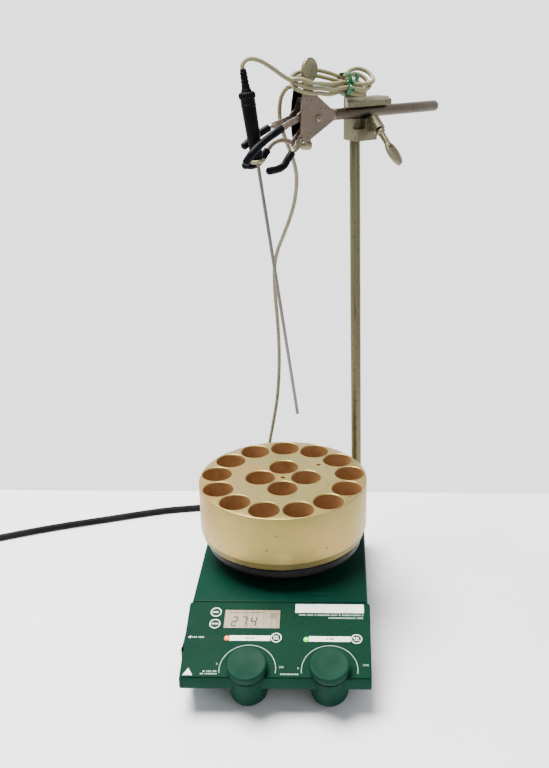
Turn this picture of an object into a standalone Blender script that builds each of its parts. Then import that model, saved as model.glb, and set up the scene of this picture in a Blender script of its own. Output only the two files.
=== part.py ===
"""Digital hotplate stirrer with a vial block, a support rod, a three-finger clamp and a temperature probe.

Lengths below are in millimetres and are turned into metres when a mesh is made. X is right, Y is back and
Z is up. The plate's axis is at X = Y = 0 on the bench, and the bench is Z = 0. Four local frames (parent
empties) carry the tilted groups: the control panel, the leaning rod, the clamp's arm and the probe.
"""
import math

import bmesh
import bpy
from mathutils import Matrix, Vector

MM = 0.001
GAP = 0.3            # clearance between neighbouring pieces

# the row's origin: the middle of the bottom of the box round everything but the cords
CENTRE_X = 31.246
CENTRE_Y = -7.38

# housing
WIDTH = 156.0        # rear housing
CONSOLE_WIDTH = 160.0
FRONT_Y = -159.0
CONSOLE_BACK_Y = -86.0
REAR_Y = 111.0
TOP_Z = 61.5
FLOOR_Z = 12.0
WALL = 3.0
LIP_TOP_Z = 37.5
LIP_BOTTOM_Z = 26.0
PANEL_SLOPE = math.radians(18.13)
PANEL_LENGTH = 76.8
OVERLAY = 0.8

# controls, as (across, up the slope) on the panel
KNOB_UP = 8.0
KNOB_TOP = 9.5
KNOB_R = 16.6
TEMPERATURE_X = -23.6
SPEED_X = 45.0
POD_R = 16.0
POD_DEPTH = 30.5
LCD = (-47.6, 0.9, 48.9, 68.2)
BUTTON_R = 4.9
BUTTONS = {"mode_button": (-55.3, 64.9), "set_button": (-55.2, 52.7),
           "heat_button": (-1.2, 38.9), "stir_button": (67.7, 38.1)}
LEDS = {"heat_led": (-43.5, 38.5), "stir_led": (24.5, 37.7)}
SWITCH_Y = -121.0
SWITCH_Z = 38.0

# hot plate and block
PLATE_R = 73.0
PLATE_TOP = 85.0
PLATE_THICK = 9.0
NECK_R = 51.0
BLOCK_X = -1.0
BLOCK_Y = 4.0
BLOCK_R = 79.3
BLOCK_BASE = PLATE_TOP + GAP
BLOCK_TOP = 138.8
STEP_HEIGHT = 7.0
STEP_IN = 2.0
WELL_R = 14.0
WELL_FLOOR = 94.0
OUTER_WELLS = 13
OUTER_RING = 63.6
INNER_WELLS = 4
INNER_RING = 21.6

# rod, with its slight lean to the left
ROD_R = 5.0
ROD_X = 70.7
ROD_Y = 97.0
ROD_LEAN = math.radians(-0.92)
ROD_LOW = 40.0
ROD_TOP = 490.0

# clamp arm: the frame's X runs along the arm to the right and back, its Y points back, its origin is on the axis
ARM_AT = (59.9, 72.0, 465.4)
ARM_TURN = math.radians(42.2)
ARM_R = 5.0
ARM_LEFT = -21.5
ARM_RIGHT = 111.0
PIVOT = (-42.7, -0.9)        # along the arm, above its axis
JAW_SCREW_X = -49.8
BOSS_PLAN = [(2.6, 8.6), (28.5, 8.6), (28.5, 24.6), (15.0, 24.6), (2.6, 11.4)]     # along the arm, across it
BOSS_Z = (-24.5, 21.6)
BOSS_CORNER = 1.0
LEDGE = [(-7.5, 5.3), (10, 5.3), (10, 12.6), (-2.5, 12.6), (-7.5, 9.8)]            # across the arm, up
LEDGE_END = [(-14, -9), (-11.2, -9), (1.6, 8), (1.6, 10.6), (-14, 10.6)]           # along the arm, across it
CHEEK = [(-26, -4.4), (-26, 4.4), (-52, 23.2), (-58.8, 23.8), (-61.4, 11), (-62.4, 0), (-61.8, -11),
         (-60.5, -19.6), (-56, -20.2)]                                             # along the arm, up
CHEEK_Y = (5.6, 7.1)
THREAD_HOLE_R = 2.7
LUG_R = 5.8
JAW_SCREW_LEAN = math.radians(4.5)
SLEEVE_R = 3.3
CORE_R = 1.9

# probe: the frame's Z runs up the probe from its tip
TIP_AT = (13.6, 2.0, 205.2)
PROBE_LEAN = math.radians(-7.68)
SHAFT_R = 1.5
SHAFT_LENGTH = 238.0
HANDLE_LOW = 229.0
HANDLE_TOP = 286.0
HANDLE_R = 5.6

# cords
PROBE_CABLE_R = 1.8
MAINS_R = 3.5
SOCKET_AT = (-30.0, 36.0)
GLAND_AT = (20.0, 30.0)
HANK_Z = (489.5, 499.0)
# the middle of the folded cable and its half width, in the arm's frame
HANK_LINE = [(-53.0, -0.5, 12.9), (-32.0, -0.5, 9.8), (-9.0, -0.5, 6.6), (2.0, -0.6, 8.6), (14.0, -1.0, 11.2)]
COIL_AT = (-391.0, 52.0)
COIL_R = 40.0
COIL_SIDE = 10.5
COIL_HEIGHT = 14.0

COLOURS = {
    "green": ((0.012, 0.13, 0.085), 0.45, 0.0),
    "panel_green": ((0.03, 0.16, 0.11), 0.4, 0.0),
    "black_plastic": ((0.012, 0.012, 0.012), 0.5, 0.0),
    "rubber": ((0.02, 0.02, 0.02), 0.8, 0.0),
    "display": ((0.35, 0.33, 0.27), 0.2, 0.0),
    "board": ((0.02, 0.12, 0.05), 0.6, 0.0),
    "orange": ((0.9, 0.25, 0.05), 0.3, 0.0),
    "lime": ((0.3, 0.9, 0.1), 0.3, 0.0),
    "steel": ((0.5, 0.48, 0.42), 0.3, 1.0),
    "dark_steel": ((0.08, 0.07, 0.06), 0.5, 1.0),
    "champagne": ((0.62, 0.5, 0.3), 0.35, 1.0),
    "plate": ((0.02, 0.014, 0.012), 0.5, 0.3),
    "nickel": ((0.45, 0.43, 0.36), 0.35, 1.0),
    "beige": ((0.5, 0.45, 0.3), 0.6, 0.0),
}


# ---------------------------------------------------------------- helpers

def material(name):
    found = bpy.data.materials.get(name)
    if found:
        return found
    colour, rough, metal = COLOURS[name]
    made = bpy.data.materials.new(name)
    made.use_nodes = True
    shader = made.node_tree.nodes["Principled BSDF"]
    shader.inputs["Base Color"].default_value = (*colour, 1)
    shader.inputs["Roughness"].default_value = rough
    shader.inputs["Metallic"].default_value = metal
    made.diffuse_color = (*colour, 1)
    return made


def empty(name, at=(0, 0, 0), turn=(0, 0, 0), parent=None):
    made = bpy.data.objects.new(name, None)
    bpy.context.scene.collection.objects.link(made)
    made.location = Vector(at) * MM
    made.rotation_euler = turn
    made.parent = parent
    return made


def place(name, mesh, paint, parent, at=(0, 0, 0), turn=(0, 0, 0)):
    made = bpy.data.objects.new(name, mesh)
    bpy.context.scene.collection.objects.link(made)
    made.location = Vector(at) * MM
    made.rotation_euler = turn
    made.parent = parent
    mesh.materials.append(material(paint))
    return made


def mesh_from(name, points, faces, smooth=False):
    mesh = bpy.data.meshes.new(name)
    mesh.from_pydata([Vector(p) * MM for p in points], [], faces)
    work = bmesh.new()
    work.from_mesh(mesh)
    bmesh.ops.recalc_face_normals(work, faces=work.faces)
    work.to_mesh(mesh)
    work.free()
    if smooth:
        mesh.shade_smooth()
        mesh.set_sharp_from_angle(angle=math.radians(35))
    return mesh


def box_mesh(name, x, y, z):
    points = [(a, b, c) for a in x for b in y for c in z]
    faces = [(0, 1, 3, 2), (4, 6, 7, 5), (0, 4, 5, 1), (2, 3, 7, 6), (0, 2, 6, 4), (1, 5, 7, 3)]
    return mesh_from(name, points, faces)


def prism_mesh(name, outline, low, high, axis="x"):
    """An outline in the plane square to axis, drawn out from low to high."""
    def point(u, v, w):
        return {"x": (w, u, v), "y": (u, w, v), "z": (u, v, w)}[axis]
    count = len(outline)
    points = [point(u, v, w) for w in (low, high) for u, v in outline]
    faces = [tuple(range(count)), tuple(range(count, 2 * count))]
    faces += [(i, (i + 1) % count, count + (i + 1) % count, count + i) for i in range(count)]
    return mesh_from(name, points, faces)


def turned_mesh(name, profile, sides=32, smooth=True, closed=False):
    """A profile of (radius, height) turned round Z. closed joins its last point to its first, for a ring."""
    points, rings = [], []
    for radius, height in profile:
        if radius < 1e-6:
            rings.append([len(points)])
            points.append((0, 0, height))
            continue
        rings.append(list(range(len(points), len(points) + sides)))
        points += [(radius * math.cos(math.tau * i / sides), radius * math.sin(math.tau * i / sides), height)
                   for i in range(sides)]
    faces = []
    pairs = list(zip(rings, rings[1:])) + ([(rings[-1], rings[0])] if closed else [])
    for a, b in pairs:
        for i in range(sides):
            j = (i + 1) % sides
            corners = [a[i % len(a)], a[j % len(a)], b[j % len(b)], b[i % len(b)]]
            faces.append(tuple(dict.fromkeys(corners)))
    if not closed:
        for ring in (rings[0], rings[-1]):
            if len(ring) > 1:
                faces.append(tuple(ring))
    return mesh_from(name, points, faces, smooth)


def cylinder_mesh(name, radius, low, high, sides=32):
    return turned_mesh(name, [(radius, low), (radius, high)], sides)


def smooth_path(points, steps):
    """A Catmull-Rom curve through the points, with a number of steps between each two."""
    points = [Vector(p) for p in points]
    ends = [2 * points[0] - points[1]] + points + [2 * points[-1] - points[-2]]
    out = []
    for a, b, c, d in zip(ends, ends[1:], ends[2:], ends[3:]):
        for i in range(steps):
            t = i / steps
            out.append(0.5 * (2 * b + (c - a) * t + (2 * a - 5 * b + 4 * c - d) * t ** 2
                              + (3 * b - a - 3 * c + d) * t ** 3))
    return out + [points[-1]]


def frames_along(path, side):
    """For each point of a path, two directions square to it, the first kept close to side."""
    out = []
    for i in range(len(path)):
        ahead = (path[min(i + 1, len(path) - 1)] - path[max(i - 1, 0)]).normalized()
        across = (side - side.dot(ahead) * ahead).normalized()
        out.append((across, ahead.cross(across)))
    return out


def swept(path, section, side):
    """Rings of points: a section of (across, up) carried along a path."""
    return [[p + a * u + b * v for u, v in section] for p, (a, b) in zip(path, frames_along(path, side))]


def skin(name, rings, smooth=True):
    """One closed body over a list of rings, capped at both ends."""
    count = len(rings[0])
    points = [p for ring in rings for p in ring]
    faces = [tuple(range(count)), tuple(range(len(points) - count, len(points)))]
    for k in range(len(rings) - 1):
        for i in range(count):
            j = (i + 1) % count
            faces.append((k * count + i, k * count + j, (k + 1) * count + j, (k + 1) * count + i))
    return mesh_from(name, points, faces, smooth)


def circle(radius, sides):
    return [(radius * math.cos(math.tau * i / sides), radius * math.sin(math.tau * i / sides))
            for i in range(sides)]


def modify(target, tool, kind):
    tool.hide_render = True
    tool.display_type = "WIRE"
    made = target.modifiers.new(kind.lower(), "BOOLEAN")
    made.operation = kind
    made.solver = "EXACT"
    made.object = tool


def cut(target, mesh, parent, at=(0, 0, 0), turn=(0, 0, 0)):
    modify(target, place(f"cutter_{mesh.name}", mesh, "rubber", parent, at, turn), "DIFFERENCE")


def add(target, mesh, parent, at=(0, 0, 0), turn=(0, 0, 0)):
    modify(target, place(f"guide_{mesh.name}", mesh, "rubber", parent, at, turn), "UNION")


def bevel(target, width, segments=2, angle=40):
    made = target.modifiers.new("bevel", "BEVEL")
    made.width = width * MM
    made.segments = segments
    made.limit_method = "ANGLE"
    made.angle_limit = math.radians(angle)


def rounded_rectangle(x, y, radius, steps=4):
    out = []
    for corner, (cx, cy) in enumerate([(x[1] - radius, y[1] - radius), (x[0] + radius, y[1] - radius),
                                       (x[0] + radius, y[0] + radius), (x[1] - radius, y[0] + radius)]):
        for i in range(steps + 1):
            turn = math.pi / 2 * (corner + i / steps)
            out.append((cx + radius * math.cos(turn), cy + radius * math.sin(turn)))
    return out


def lobed_outline(line, steps=8):
    """A closed outline round a line of (x, y, half width), with a round end at each end."""
    points = [Vector((x, y)) for x, y, _ in line]
    sides = ([], [])
    for i, (point, (_, _, half)) in enumerate(zip(points, line)):
        ahead = (points[min(i + 1, len(points) - 1)] - points[max(i - 1, 0)]).normalized()
        across = Vector((-ahead.y, ahead.x)) * half
        sides[0].append(point + across)
        sides[1].append(point - across)
    out = [tuple(p) for p in sides[0]]
    for centre, start in ((points[-1], sides[0][-1]), (points[0], sides[1][0])):
        first = math.atan2(*reversed(start - centre))
        radius = (start - centre).length
        arc = [(centre.x + radius * math.cos(first - math.pi * i / steps),
                centre.y + radius * math.sin(first - math.pi * i / steps)) for i in range(1, steps)]
        if centre is points[-1]:
            out += arc + [tuple(p) for p in reversed(sides[1])]
        else:
            out += arc
    return out


# ---------------------------------------------------------------- housing

def make_housing(bench, panel, rod):
    half = WIDTH / 2
    housing = place("housing", box_mesh("housing", (-half, half), (CONSOLE_BACK_Y + GAP, REAR_Y),
                                        (FLOOR_Z, TOP_Z)), "green", bench)
    bevel(housing, 2.0)
    cut(housing, box_mesh("housing_inside", (-half + WALL, half - WALL), (CONSOLE_BACK_Y - 5, REAR_Y - WALL),
                          (FLOOR_Z - 5, TOP_Z - WALL)), bench)
    add(housing, box_mesh("rod_block", (58, half - 1), (84, REAR_Y - 1), (35, TOP_Z - 1)), bench)
    cut(housing, cylinder_mesh("neck_hole", NECK_R - 6, 50, 70, 40), bench)
    cut(housing, cylinder_mesh("rod_hole", ROD_R + GAP, ROD_LOW - GAP - TOP_Z, 20, 20), rod)
    cut(housing, cylinder_mesh("socket_hole", 6.8, -8, 8, 20), bench,
        (SOCKET_AT[0], REAR_Y, SOCKET_AT[1]), (math.pi / 2, 0, 0))
    cut(housing, cylinder_mesh("gland_hole", 6.3, -8, 8, 20), bench,
        (GLAND_AT[0], REAR_Y, GLAND_AT[1]), (math.pi / 2, 0, 0))

    outline = [(FRONT_Y, LIP_BOTTOM_Z), (FRONT_Y, roof_z(FRONT_Y)), (CONSOLE_BACK_Y, roof_z(CONSOLE_BACK_Y)),
               (CONSOLE_BACK_Y, FLOOR_Z), (-130.0, FLOOR_Z)]
    side = CONSOLE_WIDTH / 2
    console = place("console", prism_mesh("console", outline, -side, side), "green", bench)
    bevel(console, 1.2)
    front, back = FRONT_Y + WALL, CONSOLE_BACK_Y + 5
    inside = [(front, LIP_BOTTOM_Z + 1.6), (front, roof_z(front, WALL)), (back, roof_z(back, WALL)),
              (back, FLOOR_Z + WALL), (-129.0, FLOOR_Z + WALL)]
    cut(console, prism_mesh("console_inside", inside, -side + WALL, side - WALL), bench)
    for word, across in (("temperature", TEMPERATURE_X), ("speed", SPEED_X)):
        top = -OVERLAY - GAP
        add(console, turned_mesh(f"{word}_pod", [(POD_R - 1.5, -POD_DEPTH), (POD_R, -POD_DEPTH + 1.5),
                                                 (POD_R, top - 0.02)], 24), panel, (across, KNOB_UP, 0))
        cut(console, cylinder_mesh(f"{word}_pocket", 12, -POD_DEPTH + WALL, top - WALL, 24), panel,
            (across, KNOB_UP, 0))
        cut(console, cylinder_mesh(f"{word}_hole", 5.9, -8, 5, 20), panel, (across, KNOB_UP, 0))
    for word, (across, up) in {**BUTTONS, **LEDS}.items():
        radius = BUTTON_R + GAP if word in BUTTONS else 2.6
        cut(console, cylinder_mesh(f"{word}_hole", radius, -8, 5, 16), panel, (across, up, 0))
    grow = 0.3
    cut(console, box_mesh("lcd_hole", (LCD[0] - grow, LCD[1] + grow), (LCD[2] - grow, LCD[3] + grow), (-8, 5)),
        panel)
    cut(console, box_mesh("switch_hole", (-side - 5, -side + 8), (SWITCH_Y - 10, SWITCH_Y + 10),
                          (SWITCH_Z - 5.8, SWITCH_Z + 5.8)), bench)

    cover = place("bottom_cover", box_mesh("bottom_cover", (-half + WALL + GAP, half - WALL - GAP),
                                           (CONSOLE_BACK_Y + 2, REAR_Y - WALL - GAP),
                                           (FLOOR_Z + 0.2, FLOOR_Z + 2.7)), "black_plastic", bench)
    bevel(cover, 0.6, 1)
    for word, across, along, top in (("foot_front_left", -62, -106, FLOOR_Z), ("foot_front_right", 62, -106, FLOOR_Z),
                                     ("foot_rear_left", -62, 88, FLOOR_Z + 0.2),
                                     ("foot_rear_right", 62, 88, FLOOR_Z + 0.2)):
        foot = turned_mesh(word, [(8.5, 0), (9.2, 1.2), (10, top - GAP)], 16)
        place(word, foot, "rubber", bench, (across, along, 0))


def roof_z(y, below=0.0):
    """Height of the console's sloped face at y, or of a face parallel to it and below it."""
    return LIP_TOP_Z + (y - FRONT_Y) * math.tan(PANEL_SLOPE) - (OVERLAY + GAP + below) / math.cos(PANEL_SLOPE)


def make_panel(bench, panel):
    overlay = place("panel_overlay", prism_mesh(
        "panel_overlay", rounded_rectangle((-79, 79), (0.8, 75.8), 1.5), -OVERLAY, 0, "z"), "panel_green", panel)
    for across in (TEMPERATURE_X, SPEED_X):
        cut(overlay, cylinder_mesh(f"overlay_knob_{across:.0f}", POD_R + GAP, -3, 3, 24), panel,
            (across, KNOB_UP, 0))
    for word, (across, up) in {**BUTTONS, **LEDS}.items():
        radius = BUTTON_R + GAP if word in BUTTONS else 2.6
        cut(overlay, cylinder_mesh(f"overlay_{word}", radius, -3, 3, 16), panel, (across, up, 0))
    grow = 0.3
    cut(overlay, box_mesh("overlay_lcd", (LCD[0] - grow, LCD[1] + grow), (LCD[2] - grow, LCD[3] + grow), (-3, 3)),
        panel)

    place("lcd_window", box_mesh("lcd_window", LCD[:2], LCD[2:], (-3.9, -0.3)), "display", panel)
    place("lcd_module", box_mesh("lcd_module", (LCD[0] - 3, LCD[1] + 4), (LCD[2] - 3.5, LCD[3] + 2.5),
                                 (-11.9, -4.6)), "display", panel)
    place("circuit_board", box_mesh("circuit_board", (-71, 71), (24, 72), (-13.9, -12.3)), "board", panel)
    for word, (across, up) in LEDS.items():
        paint = "orange" if word == "heat_led" else "lime"
        place(word, turned_mesh(word, [(2.2, -12.0), (2.2, -0.4), (1.7, 0.3), (0, 0.6)], 12), paint, panel,
              (across, up, 0))
    for word, (across, up) in BUTTONS.items():
        cap = [(1.8, -11.2), (1.8, -3.4), (BUTTON_R, -3.4), (BUTTON_R, 0.1), (BUTTON_R - 0.5, 0.5)]
        place(word, turned_mesh(word, cap, 14), "panel_green", panel, (across, up, 0))
    for word, across in (("temperature", TEMPERATURE_X), ("speed", SPEED_X)):
        body = [(3.4, -13), (11, -13), (11, -5.2), (5.4, -5.2), (5.4, -1.6), (3.4, -1.6)]
        place(f"{word}_potentiometer", turned_mesh(f"{word}_potentiometer", body, 16, closed=True), "dark_steel",
              panel, (across, KNOB_UP, 0))
        knob = [(0, -11), (3.0, -11), (3.0, 1.3), (KNOB_R + 0.2, 1.3), (KNOB_R, KNOB_TOP - 1.0),
                (KNOB_R - 0.8, KNOB_TOP), (0, KNOB_TOP)]
        place(f"{word}_knob", turned_mesh(f"{word}_knob", knob, 28), "green", panel, (across, KNOB_UP, 0))

    hinge = empty("switch_axis", (-CONSOLE_WIDTH / 2 + 3.0, SWITCH_Y, SWITCH_Z), (0, 0, math.radians(-5)), bench)
    rocker = place("power_rocker", prism_mesh("power_rocker", [(-4.6, -9), (-4.6, 9), (3.0, 7.4), (3.0, -7.4)],
                                              -5.4, 5.4, "z"), "black_plastic", hinge)
    bevel(rocker, 0.5, 1)


def make_inside(bench):
    place("transformer", box_mesh("transformer", (-62, -14), (52, 96), (FLOOR_Z + 3, 50)), "dark_steel", bench)
    place("motor_stator", turned_mesh("motor_stator", [(3.4, 20), (27, 20), (27, 43), (3.4, 43)], 20,
                                      closed=True), "dark_steel", bench)
    shaft = [(0, 17), (3.0, 17), (3.0, 46), (7, 46), (7, 58.7), (3.0, 58.7), (3.0, 66), (0, 66)]
    place("rotor_shaft", turned_mesh("rotor_shaft", shaft, 14), "steel", bench)
    carrier = place("magnet_carrier", prism_mesh("magnet_carrier", rounded_rectangle((-38, 38), (-9, 9), 8.9),
                                                 59.0, 63.0, "z"), "dark_steel", bench)
    cut(carrier, cylinder_mesh("carrier_hole", 3.3, 50, 70, 20), bench)
    magnet = place("drive_magnet", prism_mesh("drive_magnet", rounded_rectangle((-36, 36), (-8, 8), 7.9),
                                              63.3, 70.0, "z"), "steel", bench)
    cut(magnet, cylinder_mesh("magnet_hole", 3.3, 50, 80, 20), bench)
    place("heat_shield", turned_mesh("heat_shield", [(0, 72.0), (46.5, 72.0), (46.5, 73.2), (0, 73.2)], 24),
          "steel", bench)
    neck = [(NECK_R, TOP_Z + GAP), (NECK_R, 75.7), (NECK_R - 4, 75.7), (NECK_R - 4, TOP_Z + GAP)]
    place("plate_neck", turned_mesh("plate_neck", neck, 32, closed=True), "black_plastic", bench)
    place("heater", turned_mesh("heater", [(14, 75.2), (44, 75.2), (44, 79.0), (14, 79.0)], 24, closed=True),
          "dark_steel", bench)


def make_plate(bench):
    low = PLATE_TOP - PLATE_THICK
    profile = [(0, low + 3.4), (45, low + 3.4), (45, low), (PLATE_R - 2.5, low), (PLATE_R, low + 1.5),
               (PLATE_R, PLATE_TOP - 1.0), (PLATE_R - 1.0, PLATE_TOP), (0, PLATE_TOP)]
    place("hot_plate", turned_mesh("hot_plate", profile, 40), "plate", bench)


def make_block(bench):
    step = BLOCK_BASE + STEP_HEIGHT
    profile = [(0, BLOCK_BASE), (BLOCK_R - STEP_IN, BLOCK_BASE), (BLOCK_R - STEP_IN, step), (BLOCK_R, step),
               (BLOCK_R, BLOCK_TOP - 0.8), (BLOCK_R - 0.8, BLOCK_TOP), (0, BLOCK_TOP)]
    block = place("reaction_block", turned_mesh("reaction_block", profile, 48), "champagne", bench,
                  (BLOCK_X, BLOCK_Y, 0))
    for count, ring in ((OUTER_WELLS, OUTER_RING), (INNER_WELLS, INNER_RING)):
        for i in range(count):
            turn = math.radians(91.7) + math.tau * i / count
            well = [(0, WELL_FLOOR), (WELL_R - 0.5, WELL_FLOOR), (WELL_R, WELL_FLOOR + 0.5),
                    (WELL_R, BLOCK_TOP + 2), (0, BLOCK_TOP + 2)]
            cut(block, turned_mesh(f"well_{count}_{i}", well, 18), bench,
                (BLOCK_X + ring * math.cos(turn), BLOCK_Y + ring * math.sin(turn), 0))
    cut(block, cylinder_mesh("lifting_hole", 2.2, 110, 150, 12), bench, (BLOCK_X, BLOCK_Y, 0))
    cut(block, cylinder_mesh("thermometer_hole", 2.0, 100, 150, 12), bench, (32.0, 31.3, 0))


# ---------------------------------------------------------------- rod, boss head and arm

def make_rod(rod):
    place("support_rod", turned_mesh("support_rod", [
        (ROD_R - 0.6, ROD_LOW - TOP_Z), (ROD_R, ROD_LOW - TOP_Z + 0.6), (ROD_R, ROD_TOP - TOP_Z - 0.8),
        (ROD_R - 0.8, ROD_TOP - TOP_Z)], 24), "nickel", rod)
    place("rod_collar", turned_mesh("rod_collar", [(ROD_R + GAP, 0.5), (7.1, 0.5), (7.1, 8.5), (6.4, 9.2),
                                                   (ROD_R + GAP, 9.2)], 16, closed=True), "nickel", rod)


def thumb_screw(name, parent, at, turn, tip, head, length):
    """A screw along its frame's Z, from its tip out to a flat wing."""
    profile = [(0, tip), (2.4, tip), (2.4, head), (3.0, head + 0.3), (3.0, length - 22), (0, length - 22)]
    screw = place(name, turned_mesh(name, profile, 16), "nickel", parent, at, turn)
    wing = [(5.4 * math.cos(a), length - 12.5 + 12.5 * math.sin(a)) for a in
            (math.tau * i / 20 for i in range(20))]
    add(screw, prism_mesh(f"{name}_wing", wing, -1.9, 1.9, "y"), parent, at, turn)
    return screw


def make_boss(arm, rod):
    boss = place("boss_head", prism_mesh("boss_head", BOSS_PLAN, *BOSS_Z, "z"), "nickel", arm)
    bevel(boss, BOSS_CORNER)
    add(boss, box_mesh("boss_wall", (2.9, 28), (5.4, 10), (-24.3, 12)), arm)
    add(boss, prism_mesh("boss_ledge", LEDGE, -12, 44, "x"), arm)
    cut(boss, prism_mesh("ledge_end", LEDGE_END, 4, 14, "z"), arm)
    add(boss, box_mesh("boss_foot", (2.8, 27), (-7, 9), (-24.4, -5.4)), arm)
    at, turn = arm_screw_place()
    add(boss, cylinder_mesh("arm_screw_lug", LUG_R, 8.5, 21, 20), arm, at, turn)
    cut(boss, cylinder_mesh("arm_screw_hole", THREAD_HOLE_R, 0, 30, 16), arm, at, turn)
    cut(boss, box_mesh("boss_notch", (0, 12), (-20, -1), (-14, -3)), arm)
    at, turn = rod_screw_place()
    add(boss, cylinder_mesh("rod_screw_lug", LUG_R, 7.0, 19, 20), arm, at, turn)
    cut(boss, cylinder_mesh("rod_screw_hole", THREAD_HOLE_R, 2, 30, 16), arm, at, turn)
    cut(boss, cylinder_mesh("boss_bore", ROD_R + 0.35, 300, 500, 24), rod)
    at, turn = arm_screw_place()
    thumb_screw("boss_arm_screw", arm, at, turn, ARM_R + GAP, 21.3, 60)
    at, turn = rod_screw_place()
    thumb_screw("boss_rod_screw", arm, at, turn, ROD_R + 0.7, 19.3, 58)


def arm_screw_place():
    """The screw that holds the arm points forwards and down, square to the arm."""
    return (22, 0, 0), (math.radians(135), 0, 0)


def rod_screw_place():
    """The screw that holds the rod points straight back, square to the rod."""
    return (20.1, 15.6, -6), (math.radians(-90), 0, -ARM_TURN)


def make_clamp(arm):
    shaft = [(0, ARM_LEFT), (ARM_R, ARM_LEFT), (ARM_R, ARM_RIGHT - 1), (ARM_R - 1, ARM_RIGHT), (0, ARM_RIGHT)]
    place("clamp_arm", turned_mesh("clamp_arm", shaft, 24), "nickel", arm, (0, 0, 0), (0, math.pi / 2, 0))

    low, high = CHEEK_Y
    cheeks = place("clamp_cheeks", prism_mesh("clamp_cheeks", CHEEK, -high, -low, "y"), "nickel", arm)
    add(cheeks, prism_mesh("rear_cheek", CHEEK, low, high, "y"), arm)
    add(cheeks, box_mesh("cheek_web", (-32, -25), (-6.5, 6.5), (-4.2, 4.2)), arm)
    add(cheeks, cylinder_mesh("cheek_collar", 5.5, -27.5, ARM_LEFT - GAP, 20), arm, (0, 0, 0), (0, math.pi / 2, 0))
    cut(cheeks, cylinder_mesh("rivet_hole", 2.3, -12, 12, 16), arm, (PIVOT[0], 0, PIVOT[1]), (math.pi / 2, 0, 0))
    rivet = [(0, -8.3), (2.8, -8.3), (3.3, -7.4), (2.0, -7.4), (2.0, 7.4), (3.3, 7.4), (2.8, 8.3), (0, 8.3)]
    place("pivot_rivet", turned_mesh("pivot_rivet", rivet, 12), "nickel", arm, (PIVOT[0], 0, PIVOT[1]),
          (math.pi / 2, 0, 0))


def make_jaw_screw(arm):
    """The upright screw that draws the two jaws together, with a flat wing on top and a round nut below."""
    tilt = empty("jaw_screw_axis", (JAW_SCREW_X, 0, 0), (0, JAW_SCREW_LEAN, 0), arm)
    profile = [(0, -24.5), (2.0, -24.5), (2.0, 19.4), (4.0, 19.4), (4.4, 20.0), (4.4, 22.0), (3.8, 22.6), (3.8, 33), (0, 33)]
    screw = place("jaw_screw", turned_mesh("jaw_screw", profile, 16), "nickel", tilt)
    wing = [(8.2 * math.cos(a), 38 + 10 * math.sin(a)) for a in (math.tau * i / 24 for i in range(24))]
    add(screw, prism_mesh("jaw_screw_wing", wing, -1.8, 1.8, "y"), tilt)
    nut = [(2.0 + GAP, -17.8), (4.0, -17.8), (4.4, -20.6), (5.4, -21.0), (5.8, -24), (4.6, -26.6),
           (2.0 + GAP, -27.4)]
    place("jaw_nut", turned_mesh("jaw_nut", nut, 14, closed=True), "nickel", tilt)


def finger(name, path, sleeve_from, flat, target, arm):
    """A steel finger added to a jaw, flat where it is bare, and the blind vinyl sleeve over its end."""
    path = smooth_path(path, 3)
    side = Vector((0, 1, 0))
    bare = path[:sleeve_from + 1]
    section = [(-0.75, -2.6), (0.75, -2.6), (0.75, 2.6), (-0.75, 2.6)] if flat else circle(CORE_R, 8)
    add(target, skin(f"{name}_bar", swept(bare, section, side), not flat), arm)
    core = path[sleeve_from - 1:]
    add(target, skin(f"{name}_core", swept(core, circle(CORE_R, 8), side)), arm)
    ahead = (path[-1] - path[-2]).normalized()
    outer = swept(path[sleeve_from + 1:], circle(SLEEVE_R, 8), side)
    last = outer[-1]
    middle = path[-1]
    outer.append([p + ahead * 1.6 for p in last])
    outer.append([middle + (p - middle) * 0.6 + ahead * 2.6 for p in last])
    inner = swept(path[sleeve_from + 1:], circle(CORE_R + GAP + 0.05, 8), side)
    inner[-1] = [p + ahead * 0.5 for p in inner[-1]]
    rings = list(reversed(inner)) + outer
    place(f"{name}_sleeve", skin(f"{name}_sleeve", rings), "rubber", arm)


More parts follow.
